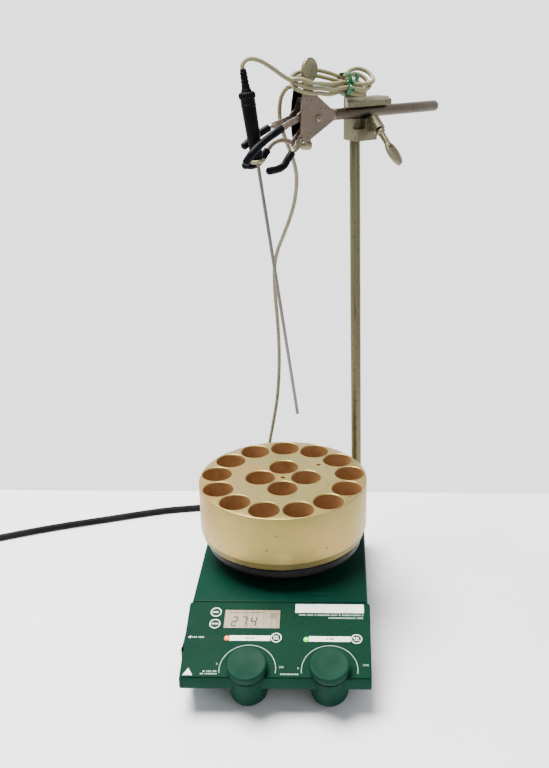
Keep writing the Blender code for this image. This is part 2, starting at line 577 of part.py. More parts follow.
def make_jaws(arm):
    upper_plate = [(PIVOT[0] + 4.2, PIVOT[1] - 2.5), (PIVOT[0] + 4.4, PIVOT[1] + 2.5), (-43, 10), (-44, 15.6),
                   (-56, 15.6), (-60, 6), (-65, 3.0), (-65, -2.6), (-56, -1.2), (PIVOT[0] - 2, PIVOT[1] - 4.6)]
    lower_plate = [(PIVOT[0] + 4.4, PIVOT[1] + 2), (PIVOT[0] + 2, PIVOT[1] + 4.4), (PIVOT[0] - 2.5, PIVOT[1] + 4),
                   (-51, -5), (-61.5, -15.5), (-65, -19.0), (-65, -24.4), (-61.2, -23.6), (-60.2, -17),
                   (-56, -15.6), (-44, -15.6),
                   (-43, -10), (PIVOT[0] + 4.4, PIVOT[1] - 2.5)]
    for word, plate, inner, block_z in (("upper", upper_plate, 4.2, (11.5, 15.4)),
                                        ("lower", lower_plate, 2.7, (-15.2, -11.4))):
        low, high = inner, inner + 1.1
        jaw = place(f"{word}_jaw", prism_mesh(f"{word}_jaw", plate, low, high, "y"), "nickel", arm)
        add(jaw, prism_mesh(f"{word}_jaw_front", plate, -high, -low, "y"), arm)
        middle = JAW_SCREW_X + math.sin(JAW_SCREW_LEAN) * sum(block_z) / 2
        add(jaw, box_mesh(f"{word}_bridge", (middle - 6.2, middle + 4.6), (-high + 0.2, high - 0.2), block_z), arm)
        cut(jaw, box_mesh(f"{word}_slot", (middle - 5.0, middle + 2.5), (-2.3, 2.3),
                          (block_z[0] - 3, block_z[1] + 3)), arm)
        cut(jaw, cylinder_mesh(f"{word}_pivot_hole", 2.3, -12, 12, 16), arm, (PIVOT[0], 0, PIVOT[1]),
            (math.pi / 2, 0, 0))
        if word == "upper":
            finger("upper_front", [(-62, -4.6, 0), (-73, -5.3, -3.2), (-82, -7.6, -6.0), (-90, -9.4, -8.6),
                                   (-100, -10.0, -12.8), (-110, -10.0, -18.5), (-117, -9.2, -24.5),
                                   (-120.5, -6.6, -30.5)], 6, True, jaw, arm)
            finger("upper_rear", [(-62, 4.6, 0), (-73, 5.3, -3.2), (-82, 7.6, -6.0), (-90, 9.4, -9.6),
                                  (-100, 10.4, -14.6), (-109, 11.0, -20.5)], 6, True, jaw, arm)
        else:
            finger("lower_front", [(-61.5, -3.25, -21.6), (-68, -4.0, -26), (-75, -4.8, -32), (-80, -5.0, -37.4),
                                   (-87, -5.0, -39.8), (-96, -5.0, -40.4)], 3, True, jaw, arm)
            finger("lower_rear", [(-61.5, 3.25, -21.6), (-66, 5.5, -19.6), (-73, 8.0, -18.4), (-80, 9.2, -20.6),
                                  (-86, 9.4, -25.6), (-93, 9.4, -32.6), (-100, 9.6, -36.6),
                                  (-110, 9.6, -36.0)], 11, False, jaw, arm)


# ---------------------------------------------------------------- probe

def make_probe(probe):
    shaft = [(0, 0), (1.0, 0.3), (SHAFT_R, 1.2), (SHAFT_R, SHAFT_LENGTH)]
    place("probe_shaft", turned_mesh("probe_shaft", shaft, 12), "steel", probe)
    handle = [(SHAFT_R + GAP, HANDLE_LOW), (6.2, HANDLE_LOW), (6.2, HANDLE_LOW + 2.2), (4.6, HANDLE_LOW + 2.4),
              (4.6, HANDLE_LOW + 4.5), (HANDLE_R - 0.5, HANDLE_LOW + 5), (HANDLE_R, HANDLE_LOW + 20),
              (HANDLE_R + 0.5, HANDLE_TOP - 5), (HANDLE_R + 0.9, HANDLE_TOP - 4.6),
              (HANDLE_R + 0.9, HANDLE_TOP - 1.5), (HANDLE_R - 0.4, HANDLE_TOP), (0, HANDLE_TOP),
              (0, SHAFT_LENGTH + GAP), (SHAFT_R + GAP, SHAFT_LENGTH + GAP)]
    place("probe_handle", turned_mesh("probe_handle", handle, 14, closed=True), "black_plastic", probe)
    low = HANDLE_TOP + GAP
    boot = [(0, low), (3.4, low), (3.4, low + 3), (2.7, low + 16.3), (2.2, low + 17), (0, low + 17)]
    place("probe_boot", turned_mesh("probe_boot", boot, 16), "black_plastic", probe)


# ---------------------------------------------------------------- cords

# routes of the cords on the bench, chosen by hand; scene.py follows the same points
CABLE_TOP = [(-27.1, 2.0, 506.8), (-27.2, 2.2, 508.6), (-24.6, 3.6, 512.4), (-19.4, 6.0, 513.4), (-12.4, 9.6, 511.2),
             (-4.6, 14.2, 506.2), (3.2, 19.7, 500.2), (7.6, 23.2, 497.2), (10.9, 25.9, 495.2)]
CABLE_DROP = [(6.7, 38.1, 489.2), (3.4, 39.0, 485.6), (0.4, 39.8, 478.6), (-0.6, 41.0, 466.0), (2.0, 43.0, 452.0),
              (6.0, 45.5, 440.5), (10.2, 48.0, 428.0), (12.6, 50.5, 416.0), (12.4, 53.0, 403.0), (10.0, 57.0, 388.0),
              (5.2, 62.0, 372.0), (-1.0, 67.0, 356.0), (-7.0, 72.5, 340.0), (-10.4, 78.0, 322.0),
              (-10.8, 85.0, 296.0), (-9.6, 92.0, 268.0), (-9.0, 99.0, 238.0), (-10.0, 106.0, 206.0),
              (-13.0, 113.0, 174.0), (-18.0, 121.0, 144.0), (-23.5, 131.0, 114.0), (-27.5, 141.0, 86.0),
              (-29.6, 150.5, 62.0), (-30.0, 156.0, 48.0), (-30.0, 154.0, 38.6), (-30.0, 147.0, 36.0), (-30.0, 142.7, 36.0)]
MAINS = [(20.0, 145.7, 30.0), (20.0, 153.0, 29.0), (19.0, 165.0, 20.5), (16.0, 175.5, 10.5), (10.0, 184.5, 4.4),
         (0.0, 190.5, 3.6), (-18.0, 194.0, 3.6), (-42.0, 194.5, 3.6), (-72.0, 191.8, 3.6), (-112.7, 185.4, 3.6),
         (-156.7, 177.0, 3.6), (-215.7, 157.3, 3.6), (-262.0, 141.5, 3.6), (-300.0, 126.5, 3.6),
         (-325.0, 115.4, 3.6), (-340.0, 108.2, 3.6), (-351.0, 102.2, 3.6)]


def cord(name, route, radius, steps, paint, bench, roundness=2):
    shape = bpy.data.curves.new(name, "CURVE")
    shape.dimensions = "3D"
    line = shape.splines.new("POLY")
    path = smooth_path(route, steps)
    line.points.add(len(path) - 1)
    for point, place_at in zip(line.points, path):
        point.co = (*(place_at * MM), 1)
    shape.bevel_depth = radius * MM
    shape.bevel_resolution = roundness
    shape.use_fill_caps = True
    made = bpy.data.objects.new(name, shape)
    bpy.context.scene.collection.objects.link(made)
    made.parent = bench
    shape.materials.append(material(paint))


def make_cords(bench, arm):
    cord("probe_cable_top", CABLE_TOP, PROBE_CABLE_R, 2, "beige", bench)
    cord("probe_cable_drop", CABLE_DROP, PROBE_CABLE_R, 2, "beige", bench)
    cord("mains_cord", MAINS, MAINS_R, 2, "rubber", bench)

    low, high = HANK_Z[0] - ARM_AT[2], HANK_Z[1] - ARM_AT[2]
    hank = place("cable_hank", prism_mesh("cable_hank", lobed_outline(HANK_LINE), low, high, "z"), "beige", arm)
    cut(hank, prism_mesh("hank_slot", rounded_rectangle((-60.5, -39.3), (-8.3, 8.1), 8.1, 5), low - 5, high + 5,
                         "z"), arm)

    ring = [(COIL_R + COIL_SIDE, 0.2), (COIL_R + COIL_SIDE, COIL_HEIGHT), (COIL_R - COIL_SIDE, COIL_HEIGHT),
            (COIL_R - COIL_SIDE, 0.2)]
    place("mains_coil", turned_mesh("mains_coil", ring, 24, closed=True), "rubber", bench, (*COIL_AT, 0))
    make_plugs(bench)


def make_plugs(bench):
    at = (SOCKET_AT[0], REAR_Y, SOCKET_AT[1])
    back = (-math.pi / 2, 0, 0)
    socket = [(0, -12), (6.3, -12), (6.3, GAP), (8.2, GAP), (8.2, 2.4), (5.4, 2.4), (5.4, -2.0), (0, -2.0)]
    place("probe_socket", turned_mesh("probe_socket", socket, 14), "steel", bench, at, back)
    plug = [(0, -1.5), (5.0, -1.5), (5.0, 2.9), (6.6, 2.9), (6.6, 17), (4.6, 20), (3.0, 22), (2.6, 31.2), (0, 31.2)]
    place("probe_plug", turned_mesh("probe_plug", plug, 14), "black_plastic", bench, at, back)
    gland = [(0, -8), (6.0, -8), (6.0, GAP), (9.0, GAP), (9.0, 4), (7.0, 5), (4.9, 34.2), (0, 34.2)]
    place("cord_gland", turned_mesh("cord_gland", gland, 16), "rubber", bench, (GLAND_AT[0], REAR_Y, GLAND_AT[1]),
          back)
    spot = empty("plug_place", (COIL_AT[0] - 46, COIL_AT[1] + COIL_R + 2 * MAINS_R, 11.3), (0, 0, math.pi), bench)
    plug = place("mains_plug", prism_mesh("mains_plug", rounded_rectangle((0, 44), (-17, 17), 6), -11, 11, "z"),
                 "black_plastic", spot)
    bevel(plug, 2.0)
    for across in (-9.5, 9.5):
        add(plug, cylinder_mesh(f"pin_{across:.0f}", 2.0, 40, 62, 12), spot, (0, across, 0), (0, math.pi / 2, 0))


def main():
    for old in list(bpy.data.objects):
        bpy.data.objects.remove(old, do_unlink=True)
    bench = empty("bench", (-CENTRE_X, -CENTRE_Y, 0))
    panel = empty("panel_frame", (0, FRONT_Y, LIP_TOP_Z), (PANEL_SLOPE, 0, 0), bench)
    rod = empty("rod_frame", (ROD_X, ROD_Y, TOP_Z), (0, ROD_LEAN, 0), bench)
    arm = empty("arm_frame", ARM_AT, (0, 0, ARM_TURN), bench)
    probe = empty("probe_frame", TIP_AT, (0, PROBE_LEAN, 0), bench)
    bpy.context.view_layer.update()
    make_housing(bench, panel, rod)
    make_panel(bench, panel)
    make_inside(bench)
    make_plate(bench)
    make_block(bench)
    make_rod(rod)
    make_boss(arm, rod)
    make_clamp(arm)
    make_jaw_screw(arm)
    make_jaws(arm)
    make_probe(probe)
    make_cords(bench, arm)


main()
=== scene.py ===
"""Looks for the hotplate stirrer with its vial block, support rod, clamp and temperature probe.

Lengths are in millimetres in the part's own local frames, and each frame's matrix turns them into metres.
X is right, Y is back and Z is up on the bench, whose origin is the plate's axis on the table top.
"""
import random
from math import cos, pi, radians, sin, tau

import bmesh
import bpy
from mathutils import Euler, Matrix, Vector


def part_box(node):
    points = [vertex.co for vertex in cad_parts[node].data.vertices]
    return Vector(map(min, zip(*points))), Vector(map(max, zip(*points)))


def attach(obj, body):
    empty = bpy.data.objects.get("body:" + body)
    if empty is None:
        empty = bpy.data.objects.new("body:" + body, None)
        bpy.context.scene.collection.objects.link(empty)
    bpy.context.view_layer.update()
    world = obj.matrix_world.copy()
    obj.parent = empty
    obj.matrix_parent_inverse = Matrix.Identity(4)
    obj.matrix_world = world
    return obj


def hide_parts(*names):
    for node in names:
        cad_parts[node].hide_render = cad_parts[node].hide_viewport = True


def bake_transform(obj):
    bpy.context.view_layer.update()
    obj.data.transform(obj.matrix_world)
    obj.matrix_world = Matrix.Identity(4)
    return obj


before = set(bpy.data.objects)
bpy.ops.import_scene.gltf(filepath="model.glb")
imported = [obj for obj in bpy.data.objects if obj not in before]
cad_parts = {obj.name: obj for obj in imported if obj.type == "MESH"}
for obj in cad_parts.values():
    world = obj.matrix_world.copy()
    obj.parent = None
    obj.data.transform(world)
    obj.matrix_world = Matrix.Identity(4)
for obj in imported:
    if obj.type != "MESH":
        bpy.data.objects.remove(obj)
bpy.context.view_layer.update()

MM = 0.001
RANDOM = random.Random(11)


def placed(name, data):
    made = bpy.data.objects.new(name, data)
    bpy.context.scene.collection.objects.link(made)
    return made


def evaluated(target):
    """The mesh of an object as it stands with its modifiers."""
    bpy.context.view_layer.update()
    return bpy.data.meshes.new_from_object(target.evaluated_get(bpy.context.evaluated_depsgraph_get()))


def about(parent, at=(0, 0, 0), turn=(0, 0, 0)):
    return parent @ Matrix.Translation(at) @ Euler(turn).to_matrix().to_4x4()


plate_low, plate_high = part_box("hot_plate")
BENCH = Matrix.Translation(((plate_low[0] + plate_high[0]) / 2, (plate_low[1] + plate_high[1]) / 2, 0)
                           ) @ Matrix.Scale(MM, 4)
ARM_TURN = radians(42.2)
PANEL = about(BENCH, (0, -159, 37.5), (radians(18.13), 0, 0))
ROD = about(BENCH, (70.7, 97, 61.5), (0, radians(-0.92), 0))
ARM_Z = 465.4            # height of the clamp arm's centre line above the table
ARM = about(BENCH, (59.9, 72, ARM_Z), (0, 0, ARM_TURN))
PROBE = about(BENCH, (13.6, 2, 205.2), (0, radians(-7.68), 0))
JAW_SCREW = about(ARM, (-49.8, 0, 0), (0, radians(4.5), 0))
ARM_SCREW = about(ARM, (22, 0, 0), (radians(135), 0, 0))
ROD_SCREW = about(ARM, (20.1, 15.6, -6), (radians(-90), 0, -ARM_TURN))
REAR_SOCKET = about(BENCH, (-30, 111, 36), (-pi / 2, 0, 0))
REAR_GLAND = about(BENCH, (20, 111, 30), (-pi / 2, 0, 0))


# ---------------------------------------------------------------- camera, floor and light

def make_camera():
    data = bpy.data.cameras.new("camera")
    data.sensor_width = 36
    data.lens = 43.84
    data.shift_x = -0.0749
    camera = placed("camera", data)
    spot = BENCH @ Vector((51.7, -786, 548.7))
    camera.matrix_world = (Matrix.Translation(spot) @ Matrix.Rotation(radians(0.48), 4, "Z")
                           @ Matrix.Rotation(radians(68.29), 4, "X")
                           @ Matrix.Rotation(radians(0.14), 4, "Z"))
    data.clip_start = 0.05
    data.clip_end = 50
    bpy.context.scene.camera = camera


def area_light(name, at, target, size, power, colour):
    data = bpy.data.lights.new(name, "AREA")
    data.shape = "DISK"
    data.size = size
    data.energy = power
    data.color = colour
    light = placed(name, data)
    light.location = at
    light.rotation_euler = (Vector(target) - Vector(at)).to_track_quat("-Z", "Y").to_euler()


def make_light():
    area_light("key", (-0.45, 0.1, 1.7), (0, 0, 0.1), 1.1, 118, (1, 0.985, 0.96))
    area_light("fill", (0.9, -1.5, 1.3), (0, 0, 0.15), 1.4, 9, (0.96, 0.98, 1))
    world = bpy.data.worlds.new("studio")
    bpy.context.scene.world = world
    world.use_nodes = True
    tree = world.node_tree
    sky = tree.nodes["Background"]
    sky.inputs["Color"].default_value = (0.975, 0.98, 1, 1)
    split = tree.nodes.new("ShaderNodeSeparateXYZ")
    tree.links.new(tree.nodes.new("ShaderNodeTexCoord").outputs["Generated"], split.inputs[0])

    def ramp(value, low, high, bottom, top):
        made = tree.nodes.new("ShaderNodeMapRange")
        tree.links.new(value, made.inputs["Value"])
        for key, number in (("From Min", low), ("From Max", high), ("To Min", bottom), ("To Max", top)):
            made.inputs[key].default_value = number
        return made.outputs[0]
    glow = tree.nodes.new("ShaderNodeMath")
    glow.operation = "MULTIPLY"
    tree.links.new(ramp(split.outputs["Y"], -0.25, 0.7, 0.26, 1), glow.inputs[0])
    tree.links.new(ramp(split.outputs["Z"], 0.3, 0.75, 2.3, 0.8), glow.inputs[1])
    tree.links.new(glow.outputs[0], sky.inputs["Strength"])


def make_floor():
    back = (BENCH @ Vector((0, 233, 0))).y
    mesh = bpy.data.meshes.new("table")
    corners = [(-2.2, -2.6), (2.2, -2.6), (2.2, back), (-2.2, back)]
    mesh.from_pydata([(x, y, z) for z in (-0.02, 0) for x, y in corners], [],
                     [(3, 2, 1, 0), (4, 5, 6, 7), (0, 1, 5, 4), (1, 2, 6, 5), (2, 3, 7, 6), (3, 0, 4, 7)])
    table = placed("table", mesh)
    white = Paint("table_white", "f3f2f6", 0.6)
    white.mottle("eeedf2", 0.6, (0.4, 0.65), 6, 3)
    mesh.materials.append(white.material)


# ---------------------------------------------------------------- materials

def linear(word):
    channels = [int(word[i:i + 2], 16) / 255 for i in (0, 2, 4)]
    return tuple(c / 12.92 if c <= 0.04045 else ((c + 0.055) / 1.055) ** 2.4 for c in channels)


class Paint:
    """A material built step by step: colour stains, roughness and relief are laid over each other."""

    def __init__(self, name, colour, rough, metal=0.0, **sockets):
        self.material = bpy.data.materials.new(name)
        self.material.use_nodes = True
        self.tree = self.material.node_tree
        self.shader = self.tree.nodes["Principled BSDF"]
        self.colour = (*linear(colour), 1)
        self.material.diffuse_color = self.colour
        self.shader.inputs["Base Color"].default_value = self.colour
        self.shader.inputs["Roughness"].default_value = rough
        self.shader.inputs["Metallic"].default_value = metal
        for socket, value in sockets.items():
            self.shader.inputs[socket.replace("_", " ")].default_value = value
        self.place = self.node("TexCoord").outputs["Object"]
        self.tint = None
        self.normal = None

    def node(self, kind, inputs=(), **settings):
        made = self.tree.nodes.new("ShaderNode" + kind)
        for key, value in settings.items():
            setattr(made, key, value)
        for key, value in dict(inputs).items():
            if isinstance(value, bpy.types.NodeSocket):
                self.tree.links.new(value, made.inputs[key])
            else:
                made.inputs[key].default_value = value
        return made

    def noise(self, scale, detail=3.0, stretch=(1, 1, 1), shift=0.0, place=None):
        moved = self.node("Mapping", {"Vector": place or self.place, "Scale": stretch,
                                                "Location": (shift, shift, shift)})
        return self.node("TexNoise", {"Vector": moved.outputs[0], "Scale": scale, "Detail": detail,
                                                "Roughness": 0.55}).outputs[0]

    def specks(self, scale, size, shift=0.0):
        """Small round spots, about one in each cell of the scale."""
        moved = self.node("Mapping", {"Vector": self.place, "Location": (shift, shift, shift)})
        cells = self.node("TexVoronoi", {"Vector": moved.outputs[0], "Scale": scale,
                                                   "Randomness": 1.0})
        spot = self.between(cells.outputs["Distance"], size, size * 0.5)
        pick = self.between(self.node("SeparateColor", {0: cells.outputs["Color"]}).outputs[0],
                            0.72, 0.8)
        return self.times(spot, pick)

    def between(self, value, low, high, bottom=0.0, top=1.0):
        return self.node("MapRange", {"Value": value, "From Min": low, "From Max": high,
                                                "To Min": bottom, "To Max": top}).outputs[0]

    def times(self, a, b):
        return self.node("Math", {0: a, 1: b}, operation="MULTIPLY").outputs[0]

    def rings(self, centre):
        """A place made of the distance from an upright axis and the height, for turned parts."""
        moved = self.node("VectorMath", {0: self.place, 1: centre}, operation="SUBTRACT").outputs[0]
        flat = self.node("VectorMath", {0: moved, 1: (1, 1, 0)}, operation="MULTIPLY").outputs[0]
        radius = self.node("VectorMath", {0: flat}, operation="LENGTH").outputs["Value"]
        height = self.node("SeparateXYZ", {0: moved}).outputs[2]
        return self.node("CombineXYZ", {0: radius, 2: height}).outputs[0]

    def edges(self, low=0.52, high=0.6):
        point = self.node("NewGeometry").outputs["Pointiness"]
        return self.between(point, low, high)

    def stain(self, mask, colour, amount=1.0):
        mixed = self.node("Mix", {"Factor": self.times(mask, amount)}, data_type="RGBA")
        if self.tint:
            self.tree.links.new(self.tint, mixed.inputs[6])
        else:
            mixed.inputs[6].default_value = self.colour
        mixed.inputs[7].default_value = (*linear(colour), 1)
        self.tint = mixed.outputs[2]
        self.tree.links.new(self.tint, self.shader.inputs["Base Color"])
        return self

    def mottle(self, colour, amount, limits, *noise, **where):
        """A stain where the noise lies between the limits."""
        return self.stain(self.between(self.noise(*noise, **where), *limits), colour, amount)

    def rough(self, mask, low, high):
        self.tree.links.new(self.between(mask, 0, 1, low, high), self.shader.inputs["Roughness"])
        return self

    def relief(self, height, depth):
        """Bump of a depth in millimetres."""
        made = self.node("Bump", {"Height": height, "Distance": depth * MM})
        if self.normal:
            self.tree.links.new(self.normal, made.inputs["Normal"])
        self.normal = made.outputs[0]
        self.tree.links.new(self.normal, self.shader.inputs["Normal"])
        return self

    def grain(self, depth, *noise, **where):
        return self.relief(self.noise(*noise, **where), depth)


def moulded(name, colour, worn, rough=0.5, grain=1600, depth=0.03):
    paint = Paint(name, colour, rough, Specular_IOR_Level=0.06)
    paint.mottle(worn, 0.55, (0.42, 0.68), 35, 4)
    paint.rough(paint.noise(60, 4, shift=3), rough - 0.12, rough + 0.2)
    paint.grain(depth, grain, 2)
    return paint


def worn_metal(name, colour, dull, spot, rough=0.34, stretch=(1, 1, 1), brush=(1, 1, 1), grime=0.5):
    paint = Paint(name, colour, rough, 1)
    paint.mottle(dull, grime, (0.42, 0.66), 28, 5, stretch)
    paint.mottle(spot, 0.6, (0.6, 0.72), 160, 4, stretch, 5)
    paint.stain(paint.specks(260, 0.35), spot, 0.5)
    paint.rough(paint.noise(80, 5, stretch, 2), rough - 0.06, rough + 0.26)
    paint.grain(0.02, 900, 3, brush)
    return paint


def make_paints():
    paints = {}
    green = paints["green"] = Paint("housing_green", "012a1e", 0.5, Specular_IOR_Level=0.04)
    green.mottle("03211a", 0.7, (0.45, 0.7), 14, 4)
    scuff = green.times(green.between(green.noise(42, 5, (1, 3.5, 1), 4), 0.57, 0.7),
                        green.between(green.noise(9, 2, shift=8), 0.48, 0.6))
    green.stain(scuff, "0a3a2d", 0.6)
    green.stain(green.edges(), "0f4032", 0.3)
    green.rough(green.noise(70, 4, shift=6), 0.3, 0.6)
    green.grain(0.03, 650, 2)
    green.relief(scuff, 0.02)
    film = paints["film"] = Paint("panel_film", "072c1f", 0.55, Specular_IOR_Level=0.02)
    film.mottle("08291d", 0.8, (0.4, 0.7), 30, 4)
    film.mottle("123a2b", 0.3, (0.55, 0.7), 420, 3, shift=2)
    film.stain(film.specks(180, 0.22), "061a12", 0.6)
    film.rough(film.noise(55, 4, shift=6), 0.34, 0.6)
    film.grain(0.012, 2200, 2)
    for key, *look in (("lip", "console_green", "0a3226", "0f3c2d", 0.5, 1500),
                       ("knob", "knob_green", "062c20", "0a3628", 0.5, 2000, 0.03),
                       ("key", "key_green", "0a2e21", "0f3829", 0.45, 2000, 0.015),
                       ("black", "black_plastic", "060606", "0e0e0e", 0.42, 1800),
                       ("rubber", "rubber_black", "070708", "0f0f10", 0.72, 1200, 0.05),
                       ("cord", "cord_black", "0e0e10", "1c1d1f", 0.5, 900, 0.03),
                       ("segment", "lcd_segment", "1e1a12", "2c2719", 0.35)):
        paints[key] = moulded(*look)
    vinyl = paints["vinyl"] = moulded("vinyl_black", "040508", "0b0d12", 0.36, 700, 0.03)
    vinyl.mottle("16181d", 0.35, (0.58, 0.7), 120, 4, shift=7)
    for key, *look in (("nickel", "worn_nickel", "7d7860", "5f5a44", "3a3527", 0.34),
                       ("rod", "rod_nickel", "6f6a50", "554f3a", "3a3424", 0.36, (1, 1, 0.12), (1, 1, 0.03)),
                       ("arm", "arm_steel", "5e574a", "463a31", "2a221c", 0.3, (1, 1, 1), (1, 1, 1), 0.6),
                       ("cheek", "cheek_steel", "776b5f", "655b4f", "42392f", 0.42),
                       ("steel", "probe_steel", "6e6b62", "514e46", "37332c", 0.3, (1, 1, 0.2), (1, 1, 0.05)),
                       ("machine", "machine_steel", "626260", "4c4c49", "33322e", 0.45),
                       ("dark", "dark_steel", "262421", "1a1917", "100f0d", 0.5)):
        paints[key] = worn_metal(*look)

    centre = tuple(BENCH @ Vector((-1, 4, 0)))
    block = paints["block"] = Paint("block_anodised", "a08c56", 0.34, 0.9)
    turned = block.rings(centre)
    block.mottle("8c8542", 0.6, (0.4, 0.62), 16, 3)
    block.mottle("ae8244", 0.55, (0.48, 0.66), 19, 3, shift=9)
    block.mottle("846a34", 0.25, (0.5, 0.8), 300, 2, place=turned)
    block.stain(block.specks(95, 0.13, 2), "4c3010", 0.75)
    block.stain(block.specks(230, 0.2, 6), "64451c", 0.5)
    block.rough(block.noise(90, 5, shift=3), 0.28, 0.5)
    block.grain(0.012, 2600, 2, place=turned)
    # A darker, greener copy of the anodised colour for the band below the block's step: painted shade under the
    # step's overhang.
    foot = paints["block_foot"] = Paint("block_foot", "6d6338", 0.4, 0.8)
    foot.mottle("5a5630", 0.7, (0.42, 0.64), 22, 3)
    foot.grain(0.012, 2600, 2, place=foot.rings(centre))
    well = paints["well"] = Paint("well_bronze", "a0764a", 0.5, 0.2)
    well.mottle("855e34", 0.8, (0.4, 0.68), 70, 4)
    well.stain(well.specks(300, 0.3), "a07a4a", 0.4)
    well.grain(0.02, 2200, 2, place=well.rings(centre))
    plate = paints["plate"] = Paint("plate_black", "090807", 0.5, 0.1, Specular_IOR_Level=0.2)
    plate.mottle("1f1b18", 0.6, (0.5, 0.7), 40, 5, (1, 1, 5))
    plate.mottle("403a34", 0.5, (0.62, 0.72), 220, 4, (1, 1, 3), 4)
    plate.rough(plate.noise(80, 4, shift=2), 0.35, 0.65)
    plate.grain(0.04, 800, 4)

    cable = paints["cable"] = Paint("probe_cable", "6f6a48", 0.45, Subsurface_Weight=0.08, Subsurface_Scale=0.002)
    cable.mottle("7d7854", 0.6, (0.42, 0.68), 45, 4)
    cable.mottle("4c4629", 0.55, (0.58, 0.72), 150, 4, shift=5)
    cable.rough(cable.noise(90, 3, shift=2), 0.35, 0.6)
    cable.grain(0.04, 700, 2)
    tie = paints["tie"] = Paint("tie_green", "035a30", 0.28, Coat_Weight=0.4)
    tie.mottle("023d1f", 0.8, (0.45, 0.7), 220, 3)
    tie.grain(0.15, 500, 3)
    lcd = paints["lcd"] = Paint("lcd_face", "786849", 0.3, Specular_IOR_Level=0.3)
    lcd.mottle("4a3a1c", 0.5, (0.5, 0.6), 520, 1, (1, 0.05, 0.05))
    lcd.mottle("7d7056", 0.5, (0.4, 0.65), 25, 2, shift=3)
    white = paints["white"] = Paint("print_white", "e4e6dc", 0.5)
    white.mottle("c2cabc", 0.4, (0.52, 0.72), 160, 4)
    ink = paints["ink"] = Paint("print_pale", "8ba397", 0.5)
    ink.mottle("5d7d6e", 0.6, (0.5, 0.7), 160, 4)
    for word, colour, glow in (("orange", "ff6a10", 1.5), ("lime", "50e020", 1.5)):
        lamp = Paint(f"lamp_{word}", colour, 0.25, Emission_Strength=glow)
        lamp.shader.inputs["Emission Color"].default_value = (*linear(colour), 1)
        lamp.mottle("ffffff", 0.3, (0.4, 0.7), 900, 2)
        paints[word] = lamp
    board = paints["board"] = Paint("board_green", "0c4a20", 0.4)
    board.mottle("2c7a3c", 0.7, (0.55, 0.6), 300, 2, (1, 0.1, 0.1))
    return paints


# ---------------------------------------------------------------- meshes

def mesh_from(name, points, faces, angle=35):
    mesh = bpy.data.meshes.new(name)
    mesh.from_pydata([Vector(p) for p in points], [], faces)
    work = bmesh.new()
    work.from_mesh(mesh)
    bmesh.ops.recalc_face_normals(work, faces=work.faces)
    work.to_mesh(mesh)
    work.free()
    smooth(mesh, angle)
    return mesh


def smooth(mesh, angle=35):
    mesh.shade_smooth()
    mesh.set_sharp_from_angle(angle=radians(angle))


def prism(name, outline, low, high, axis="z"):
    """An outline in the plane square to axis, drawn out from low to high."""
    def point(u, v, w):
        return {"x": (w, u, v), "y": (u, w, v), "z": (u, v, w)}[axis]
    count = len(outline)
    points = [point(u, v, w) for w in (low, high) for u, v in outline]
    faces = [tuple(range(count)), tuple(range(count, 2 * count))]
    faces += [(i, (i + 1) % count, count + (i + 1) % count, count + i) for i in range(count)]
    return mesh_from(name, points, faces)


def prisms(outlines, low, high, axis="z"):
    return [prism(f"prism_{k}", outline, low, high, axis) for k, outline in enumerate(outlines)]


def turned(name, profile, sides=96, closed=False, ripple=None, angle=35):
    """A profile of (radius, height) turned round Z. ripple gives a share to add to a radius at an angle."""
    points, rings = [], []
    for radius, height in profile:
        if radius < 1e-6:
            rings.append([len(points)])
            points.append((0, 0, height))
            continue
        rings.append(list(range(len(points), len(points) + sides)))
        for i in range(sides):
            turn = tau * i / sides
            r = radius * (1 + (ripple(radius, height, turn) if ripple else 0))
            points.append((r * cos(turn), r * sin(turn), height))
    faces = []
    pairs = list(zip(rings, rings[1:])) + ([(rings[-1], rings[0])] if closed else [])
    for a, b in pairs:
        for i in range(sides):
            j = (i + 1) % sides
            corners = [a[i % len(a)], a[j % len(a)], b[j % len(b)], b[i % len(b)]]
            faces.append(tuple(dict.fromkeys(corners)))
    if not closed:
        faces += [tuple(ring) for ring in (rings[0], rings[-1]) if len(ring) > 1]
    return mesh_from(name, points, faces, angle)


def smooth_path(points, steps):
    """A Catmull-Rom curve through the points, with a number of steps between each two."""
    points = [Vector(p) for p in points]
    ends = [2 * points[0] - points[1]] + points + [2 * points[-1] - points[-2]]
    out = []
    for a, b, c, d in zip(ends, ends[1:], ends[2:], ends[3:]):
        for i in range(steps):
            t = i / steps
            out.append(0.5 * (2 * b + (c - a) * t + (2 * a - 5 * b + 4 * c - d) * t ** 2
                              + (3 * b - a - 3 * c + d) * t ** 3))
    return out + [points[-1]]


def carried_frames(path):
    """For each point of a path, two directions square to it, carried along with no twist."""
    ahead = (path[1] - path[0]).normalized()
    across = ahead.orthogonal().normalized()
    out = []
    for i in range(len(path)):
        ahead = (path[min(i + 1, len(path) - 1)] - path[max(i - 1, 0)]).normalized()
        across = (across - across.dot(ahead) * ahead).normalized()
        out.append((across, ahead.cross(across)))
    return out


def skin(name, rings, angle=40):
    """One closed body over a list of rings, capped at both ends."""
    count = len(rings[0])
    points = [p for ring in rings for p in ring]
    faces = [tuple(range(count)), tuple(range(len(points) - count, len(points)))]
    for k in range(len(rings) - 1):
        for i in range(count):
            j = (i + 1) % count
            faces.append((k * count + i, k * count + j, (k + 1) * count + j, (k + 1) * count + i))
    return mesh_from(name, points, faces, angle)


def tube(name, path, radius, sides=16, dome=0):
    """A round tube along a path, with a dome of a height on its far end.

    radius is a number or a function of the share of the path.
    """
    size = radius if callable(radius) else lambda share: radius
    rings = []
    last = len(path) - 1
    for i, (p, (a, b)) in enumerate(zip(path, carried_frames(path))):
        r = size(i / last)
        rings.append([p + (a * cos(t) + b * sin(t)) * r
                      for t in (tau * k / sides for k in range(sides))])
    if dome:
        tip = path[-1]
        out = (tip - path[-2]).normalized() * dome
        rings += [[tip + (p - tip) * cos(t) + out * sin(t) for p in rings[last]]
                  for t in (0.35, 0.7, 1.05, 1.35)]
    return skin(name, rings)


